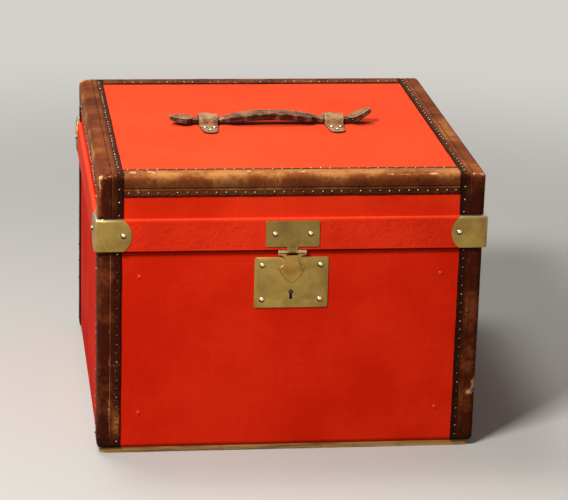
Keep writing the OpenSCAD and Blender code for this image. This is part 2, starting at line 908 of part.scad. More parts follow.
// Brass corner: two round-ended legs round the band, with a lip over its upper edge
module corner_brass(x, y) {
    depth = 2 * band_proud;
    color("darkgoldenrod") difference() {
        intersection() {
            difference() {
                band_form(brass_t, band_edge_r + brass_t);
                band_form(0, band_edge_r);
                translate([0, 0, band_z]) linear_extrude(band_h + 2)
                    rounded_rect(2 * canvas_x, 2 * canvas_y, edge_r - canvas_in);
            }
            union() {
                translate([x * brass_x, y * canvas_y, corner_z]) mirror([x > 0 ? 1 : 0, 0, 0])
                    mirror([0, y > 0 ? 1 : 0, 0]) rotate([90, 0, 0]) linear_extrude(depth) leg_outline();
                translate([x * canvas_x, y * brass_y, corner_z]) mirror([x > 0 ? 1 : 0, 0, 0])
                    mirror([0, y > 0 ? 1 : 0, 0]) rotate([90, 0, 90]) translate([0, 0, -depth])
                    linear_extrude(depth) leg_outline();
            }
        }
        corner_nail_holes();
    }
}

module corner_nails() {
    color("gold") for (x = [-1, 1], y = [-1, 1]) {
        translate([x * (brass_x - corner_leg + corner_nail_in), y * brass_y, corner_z])
            facing(y < 0 ? "front" : "back") nail(nail_head_r, nail_head_h, brass_t + band_nail);
        translate([x * brass_x, y * (brass_y - corner_leg + corner_nail_in), corner_z])
            facing(x < 0 ? "left" : "right") nail(nail_head_r, nail_head_h, brass_t + band_nail);
    }
}

// Hasp

module hasp_plate() {
    half = hasp_middle_len / 2;
    color("darkgoldenrod") difference() {
        union() {
            translate([0, -band_y, hasp_plate_z]) rotate([90, 0, 0])
                linear_extrude(plate_t) rounded_rect(hasp_plate_w, hasp_plate_h, plate_r);
            box([-half, -band_y - plate_t, hasp_axis_z], [half, -band_y, hasp_plate_z]);
            knuckle(-half, half, hasp_y, hasp_axis_z, hasp_barrel_r);
        }
        knuckle(-half - 1, half + 1, hasp_y, hasp_axis_z, hasp_pin_r + press_fit);
        hasp_nail_holes();
    }
}

module hasp_plate_nails() {
    color("gold") for (x = [-1, 1])
        translate([x * hasp_nail_x, -band_y - plate_t, hasp_plate_z]) facing("front")
            nail(nail_head_r, nail_head_h, plate_t + band_nail);
}

module hasp_pin() {
    end = hasp_barrel_len / 2;
    color("gray") knuckle(-end, end, hasp_y, hasp_axis_z, hasp_pin_r);
}

// Front view of the hasp: a bar under the knuckles, a waisted neck and a pointed shield
module hasp_outline() {
    waist_z = shoulder_z + neck_r;
    shield_z = hasp_point_z + sqrt(pow(shield_r, 2) - pow(shield_r - shield_half, 2));
    offset_x = shield_r - shield_half;
    difference() {
        union() {
            translate([-hasp_barrel_len / 2, waist_z]) square([hasp_barrel_len, hasp_axis_z - waist_z]);
            translate([-shield_half, shoulder_z]) square([2 * shield_half, neck_r]);
            intersection() {
                translate([-offset_x, shield_z]) circle(shield_r);
                translate([offset_x, shield_z]) circle(shield_r);
                translate([-shield_half, hasp_point_z])
                    square([2 * shield_half, shoulder_z - hasp_point_z + 0.5]);
            }
        }
        for (s = [-1, 1]) translate([s * (neck_half + neck_r), waist_z]) circle(neck_r);
        translate([-hasp_middle_len / 2 - knuckle_gap, hasp_axis_z - hasp_barrel_r - knuckle_room])
            square([hasp_middle_len + 2 * knuckle_gap, 3 * hasp_barrel_r + knuckle_room]);
    }
}

module hasp() {
    crown_half = shield_half + 2;
    crown_r = (pow(crown_half, 2) + pow(hasp_crown, 2)) / (2 * hasp_crown);
    front_y = hasp_back_y - hasp_t - hasp_crown;
    inner = hasp_middle_len / 2 + knuckle_gap;
    outer = hasp_barrel_len / 2;
    color("goldenrod") difference() {
        union() {
            intersection() {
                translate([0, hasp_back_y, 0]) rotate([90, 0, 0])
                    linear_extrude(hasp_t + hasp_crown + 1) hasp_outline();
                translate([0, front_y + crown_r, hasp_point_z - 5])
                    cylinder(h = hasp_axis_z - hasp_point_z + 10, r = crown_r, $fn = 360);
            }
            knuckle(-outer, -inner, hasp_y, hasp_axis_z, hasp_barrel_r);
            knuckle(inner, outer, hasp_y, hasp_axis_z, hasp_barrel_r);
            box([-lug_t / 2, hasp_back_y - 0.5, lug_z - lug_h / 2],
                [lug_t / 2, lug_tip_y, lug_z + lug_h / 2]);
        }
        knuckle(-outer - 1, outer + 1, hasp_y, hasp_axis_z, hasp_pin_r + pin_fit);
        box([-lug_t, bolt_y - bolt_gap, lug_z - tongue_h / 2 - tongue_gap],
            [lug_t, bolt_y + bolt_t + bolt_gap, lug_z + tongue_h / 2 + tongue_gap]);
    }
}

// Handle

// Plan of a loop: straight over the strap, then drawn in to round-ended tabs
module loop_plan() {
    side = loop_w / 2;
    bend = loop_half + loop_t;
    tip_r = side - tab_taper;
    tip_y = loop_reach - tip_r;
    for (s = [-1, 1]) translate([0, s * tip_y]) circle(tip_r);
    polygon([[-side, -bend], [-tip_r, -tip_y], [tip_r, -tip_y], [side, -bend],
        [side, bend], [tip_r, tip_y], [-tip_r, tip_y], [-side, bend]]);
}

// Leather loop: an arch over the strap with a tab to the front and to the back
module handle_loop(x) {
    color("sienna") difference() {
        intersection() {
            translate([x, 0, canvas_z]) rotate([90, 0, 90]) linear_extrude(loop_w, center = true) {
                difference() {
                    union() {
                        translate([0, (loop_room + loop_t) / 2 - loop_r])
                            rounded_rect(2 * (loop_half + loop_t), loop_room + loop_t + 2 * loop_r, loop_r);
                        translate([-loop_reach, 0]) square([2 * loop_reach, loop_t]);
                    }
                    translate([0, loop_room / 2 - loop_r])
                        rounded_rect(2 * loop_half, loop_room + 2 * loop_r, loop_r - loop_t);
                    translate([-loop_reach - 1, -4 * loop_r]) square([2 * loop_reach + 2, 4 * loop_r]);
                }
            }
            translate([x, 0, canvas_z]) linear_extrude(loop_room + loop_t + 1) loop_plan();
        }
        tack_holes();
    }
}

module handle_loop_nails() {
    color("gold") for (x = [-loop_x, loop_x], p = tack_spots)
        translate([x + p[0], p[1], canvas_z + loop_t]) nail(tack_head_r, tack_head_h, loop_t + tack_nail);
}

// The strap's arch as a slice of a great ring, as thick as the strap
module strap_arch(width) {
    mid_z = strap_z + strap_t / 2 + grip_rise - arch_r;
    translate([0, 0, mid_z]) rotate([90, 0, 0]) linear_extrude(width, center = true) difference() {
        circle(arch_r + strap_t / 2, $fn = 360);
        circle(arch_r - strap_t / 2, $fn = 360);
    }
}

// Plan of the strap in the hand: full width, waisted towards the loops
module grip_plan() {
    narrow = grip_half + grip_taper;
    end = scarf_x + 2 * scarf_lap;
    polygon([[-grip_half, -grip_w / 2], [grip_half, -grip_w / 2], [narrow, -neck_w / 2], [end, -neck_w / 2],
        [end, neck_w / 2], [narrow, neck_w / 2], [grip_half, grip_w / 2], [-grip_half, grip_w / 2],
        [-narrow, neck_w / 2], [-end, neck_w / 2], [-end, -neck_w / 2], [-narrow, -neck_w / 2]]);
}

// The hand's part of the strap, with scarfed ends over the end pieces
module handle_grip() {
    top = scarf_x + scarf_lap;
    below = 4;
    color("peru") intersection() {
        strap_arch(grip_w);
        translate([0, 0, strap_z - 1]) linear_extrude(2 * strap_t + grip_rise) grip_plan();
        rotate([90, 0, 0]) linear_extrude(grip_w + 2, center = true) polygon([
            [-top, strap_z + strap_t], [-top + strap_t + below, strap_z - below],
            [top - strap_t - below, strap_z - below], [top, strap_z + strap_t],
            [top, strap_z + 2 * strap_t + grip_rise], [-top, strap_z + 2 * strap_t + grip_rise]]);
    }
}

// Plan of an end pad, from its broad shoulder towards its tip at +X. Its straight sides cross the two
// circles a little inside their common tangents.
module pad_plan(inset) {
    shoulder_r = pad_w / 2;
    tip_r = pad_tip_w / 2;
    tip_x = pad_len - tip_r;
    lean = asin((shoulder_r - tip_r) / (tip_x - shoulder_r));
    near = [(shoulder_r - inset) * sin(lean - pad_cross), (shoulder_r - inset) * cos(lean - pad_cross)];
    far = [(tip_r - inset) * sin(lean + pad_cross), (tip_r - inset) * cos(lean + pad_cross)];
    translate([shoulder_r, 0]) circle(shoulder_r - inset);
    translate([tip_x, 0]) circle(tip_r - inset);
    polygon([[shoulder_r + near[0], -near[1]], [tip_x + far[0], -far[1]],
        [tip_x + far[0], far[1]], [shoulder_r + near[0], near[1]]]);
}

// Layered end pad
module end_pad() {
    layer = (pad_t - 2 * pad_groove) / 3;
    for (i = [0 : 2]) translate([0, 0, i * (layer + pad_groove)]) linear_extrude(layer) pad_plan(0);
    linear_extrude(pad_t) pad_plan(pad_groove);
}

// End of the strap: through the loop, with a scarfed inner end and the pad outside, tilted up
module handle_end(s, tilt) {
    top = scarf_x + scarf_lap + scarf_gap;
    color("sienna") mirror([s < 0 ? 1 : 0, 0, 0]) {
        rotate([90, 0, 0]) linear_extrude(neck_w, center = true) polygon([
            [top, strap_z + strap_t], [top - strap_t, strap_z],
            [pad_x + pad_lap, strap_z], [pad_x + pad_lap, strap_z + strap_t]]);
        translate([pad_x + pad_t * sin(tilt), 0, strap_z - pad_drop]) rotate([0, -tilt, 0]) end_pad();
    }
}

// Small rivets and washers of the lid

module lid_rivets() {
    color("red") for (p = top_rivet_spots)
        translate([p[0], p[1], canvas_z]) nail(rivet_head_r, flat_head_h, rivet_len);
}

module lid_rivet_washers() {
    color("silver") for (p = top_rivet_spots)
        translate([p[0], p[1], trunk_h - room_in - washer_t]) washer();
}

base_board();
front_board();
back_board();
left_board();
right_board();
body_canvas();
body_lining();
body_binding(-1, -1);  // body_binding_front_left
body_binding(1, -1);  // body_binding_front_right
body_binding(-1, 1);  // body_binding_back_left
body_binding(1, 1);  // body_binding_back_right
lock_plate();
lock_case();
lock_drill_pin();
lock_spring();
lock_plate_nails();
body_rivets();
body_rivet_washers();
hinge_body_leaf(-hinge_x);  // hinge_body_leaf_left
hinge_body_leaf(hinge_x);  // hinge_body_leaf_right
hinge_body_rivets();
hinge_pin(-hinge_x);  // hinge_pin_left
hinge_pin(hinge_x);  // hinge_pin_right
lock_bolt();
lid_top_board();
lid_front_rail();
lid_back_rail();
lid_left_rail();
lid_right_rail();
lid_canvas();
lid_lining();
lid_side_binding(-1);  // lid_binding_left
lid_side_binding(1);  // lid_binding_right
lid_end_binding(-1, front_top_w);  // lid_binding_front
lid_end_binding(1, back_top_w);  // lid_binding_back
band_front();
band_back();
band_left();
band_right();
corner_brass(-1, -1);  // corner_brass_front_left
corner_brass(1, -1);  // corner_brass_front_right
corner_brass(-1, 1);  // corner_brass_back_left
corner_brass(1, 1);  // corner_brass_back_right
corner_nails();
hasp_plate();
hasp_plate_nails();
hasp_pin();
hinge_lid_leaf(-hinge_x);  // hinge_lid_leaf_left
hinge_lid_leaf(hinge_x);  // hinge_lid_leaf_right
hinge_lid_rivets();
handle_loop(-loop_x);  // handle_loop_left
handle_loop(loop_x);  // handle_loop_right
handle_loop_nails();
lid_rivets();
lid_rivet_washers();
hasp();
handle_grip();
handle_end(-1, pad_tilt_left);  // handle_end_left
handle_end(1, pad_tilt_right);  // handle_end_right
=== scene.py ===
import math

import bmesh
import bpy
import numpy as np
from mathutils import Matrix, Vector, kdtree, noise


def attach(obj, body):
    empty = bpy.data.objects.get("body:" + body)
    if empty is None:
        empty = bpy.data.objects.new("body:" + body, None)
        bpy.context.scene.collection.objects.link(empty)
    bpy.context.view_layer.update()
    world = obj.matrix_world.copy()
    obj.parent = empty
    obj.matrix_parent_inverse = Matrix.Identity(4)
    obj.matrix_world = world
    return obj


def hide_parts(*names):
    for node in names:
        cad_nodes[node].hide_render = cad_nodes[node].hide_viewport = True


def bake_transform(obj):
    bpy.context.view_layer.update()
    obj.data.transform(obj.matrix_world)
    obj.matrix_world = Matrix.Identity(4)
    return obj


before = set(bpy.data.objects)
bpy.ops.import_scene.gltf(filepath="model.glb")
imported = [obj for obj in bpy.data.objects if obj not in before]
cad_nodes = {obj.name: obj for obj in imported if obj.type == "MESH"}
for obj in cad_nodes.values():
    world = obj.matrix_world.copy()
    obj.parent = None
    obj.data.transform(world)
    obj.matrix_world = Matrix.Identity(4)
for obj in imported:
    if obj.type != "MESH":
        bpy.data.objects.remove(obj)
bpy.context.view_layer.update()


# Camera, floor and light
# The camera stands where the photograph was taken. Its place was found by fitting the trunk's
# straight edges in the picture, which is 568 pixels wide. The floor is plain and pale. One soft
# lamp stands in front and to the left, one hangs above, and a weak one fills the shadows.

picture_width = 568
focal_pixels = 2477.0
sensor_width = 36.0
camera_distance = 3.310
azimuth = math.radians(-7.69)
elevation = math.radians(17.95)
roll = math.radians(1.64)
aim = Vector((0.0225, 0.0, 0.1873))


def linked(name, data):
    """An object of that data, linked to the scene."""
    made = bpy.data.objects.new(name, data)
    bpy.context.scene.collection.objects.link(made)
    return made


to_camera = Vector((math.sin(azimuth) * math.cos(elevation), -math.cos(azimuth) * math.cos(elevation),
                    math.sin(elevation)))
level_right = Vector((math.cos(azimuth), math.sin(azimuth), 0.0))
level_up = to_camera.cross(level_right)
camera_right = level_right * math.cos(roll) + level_up * math.sin(roll)
camera_up = level_up * math.cos(roll) - level_right * math.sin(roll)

camera_data = bpy.data.cameras.new("photo_camera")
camera_data.sensor_width = sensor_width
camera_data.lens = focal_pixels * sensor_width / picture_width
camera_data.clip_end = 50.0
camera = linked("photo_camera", camera_data)
camera.matrix_world = Matrix.Translation(aim + to_camera * camera_distance) @ Matrix(
    (camera_right, camera_up, to_camera)).transposed().to_4x4()
bpy.context.scene.camera = camera
bpy.context.scene.view_settings.view_transform = "Standard"


def linear(colour):
    """An sRGB hex colour as the linear red, green, blue and alpha that a socket holds."""
    parts = [int(colour[i:i + 2], 16) / 255 for i in (1, 3, 5)]
    return [p / 12.92 if p <= 0.04045 else ((p + 0.055) / 1.055) ** 2.4 for p in parts] + [1.0]


def add(tree, kind, inputs=(), **settings):
    """Adds a node. Its inputs are values, or the nodes and sockets that feed them, by name or number."""
    node = tree.nodes.new(kind)
    for name, value in settings.items():
        setattr(node, name, value)
    for key, value in dict(inputs).items():
        socket = node.inputs[key] if isinstance(key, int) else next(
            s for s in node.inputs if s.enabled and s.name == key)
        if isinstance(value, bpy.types.Node):
            value = next(s for s in value.outputs if s.enabled)
        if isinstance(value, bpy.types.NodeSocket):
            tree.links.new(value, socket)
        else:
            socket.default_value = value
    return node


def blank_material(name):
    """A material with an empty node tree, that tree, and the object's own coordinates in it."""
    material = bpy.data.materials.new(name)
    material.use_nodes = True
    material.node_tree.nodes.clear()
    return material, material.node_tree, add(material.node_tree, "ShaderNodeTexCoord").outputs["Object"]


def surface(tree, inputs):
    """Ends a material's tree with its Principled shader."""
    shader = add(tree, "ShaderNodeBsdfPrincipled", inputs)
    add(tree, "ShaderNodeOutputMaterial", {"Surface": shader})


def coated(tree, base, *coats):
    """Lays coats over a base colour. A coat is its colour and the share that it covers. The share can
    also be a value with its low and high end: it then grows smoothly between them, from 0 to 1 or
    between two shares."""
    colour = linear(base)
    for over, cover, *span in coats:
        if span:
            cover = add(tree, "ShaderNodeMapRange", enumerate([cover, *span]),
                        interpolation_type="SMOOTHSTEP")
        colour = add(tree, "ShaderNodeMix", {"Factor": cover, "A": colour, "B": linear(over)},
                     data_type="RGBA")
    return colour


def varied(tree, start, *spans, operation="ADD"):
    """Adds amounts to a starting value in turn, or multiplies it by them. Each is a value with its low
    and high end, and the amount grows smoothly between them, from 0 to 1 or between two amounts."""
    for span in spans:
        amount = add(tree, "ShaderNodeMapRange", enumerate(span), interpolation_type="SMOOTHSTEP")
        start = add(tree, "ShaderNodeMath", {0: amount, 1: start}, operation=operation)
    return start


def mesh_object(name, vertices, faces, material):
    """A smooth mesh at the origin with its place in its vertices, linked to the scene."""
    mesh = bpy.data.meshes.new(name)
    mesh.from_pydata([tuple(v) for v in vertices], [], [tuple(f) for f in faces])
    mesh.materials.append(material)
    mesh.shade_smooth()
    return linked(name, mesh)


def looked_at(tree):
    """1 for rays from the camera, straight, mirrored or through glass, and 0 for those that bring light."""
    path = add(tree, "ShaderNodeLightPath")
    seen = add(tree, "ShaderNodeMath", {0: path.outputs["Is Camera Ray"], 1: path.outputs["Is Glossy Ray"]},
               operation="MAXIMUM")
    return add(tree, "ShaderNodeMath", {0: seen, 1: path.outputs["Is Transmission Ray"]}, operation="MAXIMUM")


# The floor near the trunk is a matt pale grey that keeps its shadow, and it throws less light back
# than it shows. Further off it turns into the plain backdrop.
backdrop_grey = linear("#D3D0CB")
floor_paint, tree, at = blank_material("pale_matt_floor")
seen = looked_at(tree)
away = add(tree, "ShaderNodeVectorMath", {0: at}, operation="LENGTH")
far = varied(tree, seen, (away, 0.7, 1.9), operation="MULTIPLY")
grey = coated(tree, "#7E7B76", ("#B3B0AA", seen))
matt = add(tree, "ShaderNodeBsdfPrincipled", {"Base Color": grey, "Roughness": 0.9,
                                              "Specular IOR Level": 0.15})
plain = add(tree, "ShaderNodeEmission", {"Color": backdrop_grey, "Strength": 1.0})
mixed = add(tree, "ShaderNodeMixShader", {0: far, 1: matt, 2: plain})
add(tree, "ShaderNodeOutputMaterial", {"Surface": mixed})
reach = 15.0
floor_corners = [(-reach, -reach, 0), (reach, -reach, 0), (reach, reach, 0), (-reach, reach, 0)]
floor = mesh_object("studio_floor", floor_corners, [(0, 1, 2, 3)], floor_paint)

world = bpy.data.worlds.new("pale_studio")
bpy.context.scene.world = world
world.use_nodes = True
tree = world.node_tree
tree.nodes.clear()
ambient = add(tree, "ShaderNodeBackground", {"Color": linear("#F4F3F0"), "Strength": 0.21})
backdrop = add(tree, "ShaderNodeBackground", {"Color": backdrop_grey, "Strength": 1.0})
mixed = add(tree, "ShaderNodeMixShader", {0: looked_at(tree), 1: ambient, 2: backdrop})
add(tree, "ShaderNodeOutputWorld", {"Surface": mixed})


def soft_lamp(name, place, aimed_at, width, height, watts):
    """A broad rectangular lamp that faces a point."""
    lamp = bpy.data.lights.new(name, "AREA")
    lamp.shape = "RECTANGLE"
    lamp.size, lamp.size_y, lamp.energy = width, height, watts
    held = linked(name, lamp)
    held.location = place
    held.rotation_euler = (Vector(place) - Vector(aimed_at)).to_track_quat("Z", "Y").to_euler()


soft_lamp("key_softbox", (-1.3, -1.45, 2.1), (0, 0, 0.2), width=0.7, height=0.5, watts=90)
soft_lamp("top_softbox", (-0.5, 0.4, 2.4), (0, 0, 0.3), width=0.7, height=0.6, watts=28)
soft_lamp("fill_softbox", (1.4, -3.0, 1.3), (0, 0, 0.15), width=1.2, height=1.0, watts=4)


# Boards of the case
# Base, walls and lid are planed poplar, combed together at the corners and glued. Only the base
# board's edge and the rims show bare wood, tan with age and darker along the grain.


def dress(material, *names):
    """Gives CAD nodes their finish."""
    for name in names:
        mesh = cad_nodes[name].data
        mesh.materials.clear()
        mesh.materials.append(material)


def planed_wood(name, light, dark, along):
    """Planed wood whose grain, 3 mm wide, runs along one axis; it gives long darker streaks."""
    material, tree, at = blank_material(name)
    stretch = [14.0 if axis == along else 330.0 for axis in "xyz"]
    turned = add(tree, "ShaderNodeMapping", {"Vector": at, "Scale": stretch})
    grain = add(tree, "ShaderNodeTexNoise", {"Vector": turned, "Scale": 1.0, "Detail": 5.0,
                                             "Distortion": 0.6})
    dirt = add(tree, "ShaderNodeTexNoise", {"Vector": at, "Scale": 38.0, "Detail": 4.0})
    stained = coated(tree, light, (dark, grain, 0.35, 0.68), ("#4A2A14", dirt, 0.52, 0.75, 0.0, 0.55))
    ridges = add(tree, "ShaderNodeBump", {"Strength": 0.35, "Distance": 0.0004, "Height": grain})
    surface(tree, {"Base Color": stained, "Roughness": 0.62, "Specular IOR Level": 0.35, "Normal": ridges})
    return material


dress(planed_wood("poplar_base_edge", "#A67A42", "#6E4A25", "x"), "base_board")
dress(planed_wood("poplar_along_x", "#C69C66", "#98703F", "x"),
      "front_board", "back_board", "lid_top_board", "lid_front_rail", "lid_back_rail")
dress(planed_wood("poplar_along_y", "#C69C66", "#98703F", "y"),
      "left_board", "right_board", "lid_left_rail", "lid_right_rail")


# Lining
# The inside is papered with plain cotton, glued flat on the boards. Its threads are drawn 1.6 mm
# apart, twice as coarse as real ones, so that the weave shows.

cotton, tree, at = blank_material("unbleached_cotton")
weave = 0.0
for direction in "XYZ":
    thread = add(tree, "ShaderNodeTexWave", {"Vector": at, "Scale": 98.0, "Distortion": 0.4},
                 bands_direction=direction)
    weave = add(tree, "ShaderNodeMath", {0: weave, 1: thread})
age = add(tree, "ShaderNodeTexNoise", {"Vector": at, "Scale": 9.0, "Detail": 6.0})
cloth = coated(tree, "#CDBB97", ("#B7A076", age, 0.4, 0.8))
threads = add(tree, "ShaderNodeBump", {"Strength": 0.4, "Distance": 0.0003, "Height": weave})
surface(tree, {"Base Color": cloth, "Roughness": 0.9, "Specular IOR Level": 0.15, "Normal": threads})
dress(cotton, "body_lining", "lid_lining")


# Painted canvas, band and small rivets
# Coarse canvas is glued over the boards and brushed with red oil paint, again and again, also over
# the wooden band and the rivet heads. The paint fills the weave, shows brush marks and runs
# thick and lumpy on the band. Its top faces are painted paler as a painted highlight, and a
# painted shadow lines the body under the band.

over_everything = 9.0


def brushed_paint(name, lumps, above=over_everything, until=over_everything, turned="#E0623C", amount=0.36,
                  red="#DC3013", deep="#CB250B", shine=0.004, rough=0.5):
    """Red oil paint, nearly matt and finely streaked. Lumps are millimetres of thick
    paint between its high and low places. Above one height, until another, light or shade is painted
    into its colour by an amount: a pale colour as a painted highlight, a dark one as a painted shadow."""
    material, tree, at = blank_material(name)
    patches = add(tree, "ShaderNodeTexNoise", {"Vector": at, "Scale": 8.0, "Detail": 7.0, "Roughness": 0.6})
    # The brush went level and then down, and its marks are 2 to 4 mm apart
    across_at = add(tree, "ShaderNodeMapping", {"Vector": at, "Scale": (16.0, 40.0, 480.0)})
    across = add(tree, "ShaderNodeTexNoise", {"Vector": across_at, "Scale": 1.0, "Detail": 5.0})
    down_at = add(tree, "ShaderNodeMapping", {"Vector": at, "Scale": (260.0, 330.0, 12.0)})
    down = add(tree, "ShaderNodeTexNoise", {"Vector": down_at, "Scale": 1.0, "Detail": 4.0})
    strokes = add(tree, "ShaderNodeMath", {0: across, 1: down})
    strokes = add(tree, "ShaderNodeMath", {0: strokes, 1: 0.5}, operation="MULTIPLY")
    # A few knocks through the top coat, a millimetre wide, show an older, darker coat
    knocks = add(tree, "ShaderNodeTexVoronoi", {"Vector": at, "Scale": 26.0}).outputs["Distance"]
    knocked = varied(tree, 0.6, (patches, 0.56, 0.6), (knocks, 0.02, 0.035, 1.0, 0.0), operation="MULTIPLY")
    height = add(tree, "ShaderNodeSeparateXYZ", {0: at}).outputs["Z"]
    # Between the two heights light or shade is painted in, with the turned colour
    painted_light_share = varied(tree, amount, (height, above, above + 0.0008), (height, until, until + 0.001, 1.0, 0.0),
                     operation="MULTIPLY")
    colour = coated(tree, red, (deep, patches, 0.36, 0.66), ("#B01407", strokes, 0.52, 0.72, 0.0, 0.3),
                    ("#6E1A0E", knocked), (turned, painted_light_share))
    # The canvas shows through 1.4 mm apart, coarse enough to see, and the paint's lumps are 9 mm wide
    weave = add(tree, "ShaderNodeTexNoise", {"Vector": at, "Scale": 700.0, "Detail": 2.0})
    thick = add(tree, "ShaderNodeTexNoise", {"Vector": at, "Scale": 110.0, "Detail": 3.0, "Distortion": 0.8})
    woven = add(tree, "ShaderNodeBump", {"Strength": 0.5, "Distance": 0.0002, "Height": weave})
    marked = add(tree, "ShaderNodeBump", {"Strength": 0.7, "Distance": 0.0004, "Height": strokes,
                                          "Normal": woven})
    lumpy = add(tree, "ShaderNodeBump", {"Strength": 0.8, "Distance": lumps / 1000, "Height": thick,
                                         "Normal": marked})
    surface(tree, {"Base Color": colour, "Roughness": varied(tree, rough, (patches, 0.3, 0.7, 0.0, 0.1)),
                   "Specular IOR Level": shine, "Normal": lumpy})
    return material


# On the body the dark stretch is a painted shadow under the band; on the lid and the band the paler
# top faces are a painted highlight
dress(brushed_paint("oil_paint_on_body_canvas", lumps=0.4, above=0.2638, until=0.2685, turned="#4E0B05",
                    amount=0.75, red="#D5270E", deep="#C71E09"), "body_canvas")
dress(brushed_paint("oil_paint_on_lid_canvas", lumps=0.4, above=0.3609), "lid_canvas")
dress(brushed_paint("thick_oil_paint_on_band", lumps=1.4, above=0.3070, shine=0.05),
      "band_front", "band_back", "band_left", "band_right")
dress(brushed_paint("oil_paint_on_rivets", lumps=0.2, red="#CE2711", shine=0.3, rough=0.2),
      "body_rivets", "lid_rivets")


# Leather bindings
# Strips of brown vegetable-tanned cowhide, 2 mm thick, are folded wet over the case's edges, pressed
# round the corners and nailed down along their cut edges. Each strip here is a fine skin that
# rises from the canvas at its cut edges and dips where the nails pull it down.

half_width, half_depth = 0.240, 0.242
body_rim, lid_top = 0.279, 0.364
leather_thickness, skin_depth, underside_depth = 0.002, 0.0002, 0.0006
outer_radius, cut_radius = 0.008, 0.0012
post_width = 0.030
side_on_top, side_drop = 0.032, 0.028
front_on_top, back_on_top, front_drop = 0.028, 0.031, 0.028
above_brass = 0.3089
post_foot = 0.0039
nail_inset, nail_pull, pull_reach = 0.0055, 0.00035, 0.0016
butt_dip, butt_reach = 0.0009, 0.0007
# A spot's radius that makes it the same all along an axis
anywhere = 9.0


def cut_lines(marks, step=0.0015):
    """Grid lines between marks, closer beside each mark so that a cut edge can be round there."""
    lines = []
    for a, b in zip(marks, marks[1:]):
        close = [o for o in (0.0003, 0.0008) if b - a > 4 * o]
        inner = np.linspace(a, b, max(2, round((b - a) / step)) + 1)
        lines += [*inner, *[a + o for o in close], *[b - o for o in close]]
    return np.unique(np.round(lines, 6))


def box_skin(patches, marks):
    """Quads over rectangles of a sharp box's skin. A patch is its axis, its place on it and two ranges."""
    lines = [cut_lines(m) for m in marks]
    shell = bmesh.new()
    for axis, place, first, second in patches:
        i, j = [a for a in range(3) if a != axis]
        if (place > 0) != (axis == 1):
            i, j, first, second = j, i, second, first
        rows = [v for v in lines[i] if first[0] - 1e-7 <= v <= first[1] + 1e-7]
        columns = [v for v in lines[j] if second[0] - 1e-7 <= v <= second[1] + 1e-7]
        grid = []
        for u in rows:
            grid.append([])
            for v in columns:
                at = [0.0, 0.0, 0.0]
                at[axis], at[i], at[j] = place, u, v
                grid[-1].append(shell.verts.new(at))
        for r, s in zip(grid, grid[1:]):
            for a, b, c, d in zip(r, s, s[1:], r[1:]):
                shell.faces.new((d, c, b, a))
    bmesh.ops.remove_doubles(shell, verts=shell.verts, dist=1e-6)
    return shell


def distance_from(edge_points, points):
    """How far each point is from the nearest edge point."""
    if not edge_points:
        return np.full(len(points), 1.0)
    near = kdtree.KDTree(len(edge_points))
    for i, p in enumerate(edge_points):
        near.insert(p, i)
    near.balance()
    return np.array([near.find(p)[2] for p in points])


def wander(at, size, seed):
    """Smooth random direction at a place, with features of that size."""
    return Vector(noise.noise_vector(Vector(at) / size + Vector((seed, 0, 0))))


def spots_at(points, spots):
    """Sum of soft spots, each a centre, its radii along X, Y and Z, and its strength."""
    total = np.zeros(len(points))
    for centre, radii, strength in spots:
        away = (np.array(points) - np.array(centre)) / np.array(radii)
        total += strength * np.exp(-(away ** 2).sum(1))
    return total


def keep(mesh, **attributes):
    """Stores one number for each vertex under each name, for the materials to read."""
    for name, values in attributes.items():
        held = mesh.attributes.new(name, "FLOAT", "POINT")
        held.data.foreach_set("value", np.asarray(values, dtype=np.float32))


def settle(piece):
    """Turns what a piece's modifiers make into its own plain mesh."""
    piece.data = bpy.data.meshes.new_from_object(piece.evaluated_get(bpy.context.evaluated_depsgraph_get()))
    piece.modifiers.clear()
    piece.data.name = piece.name


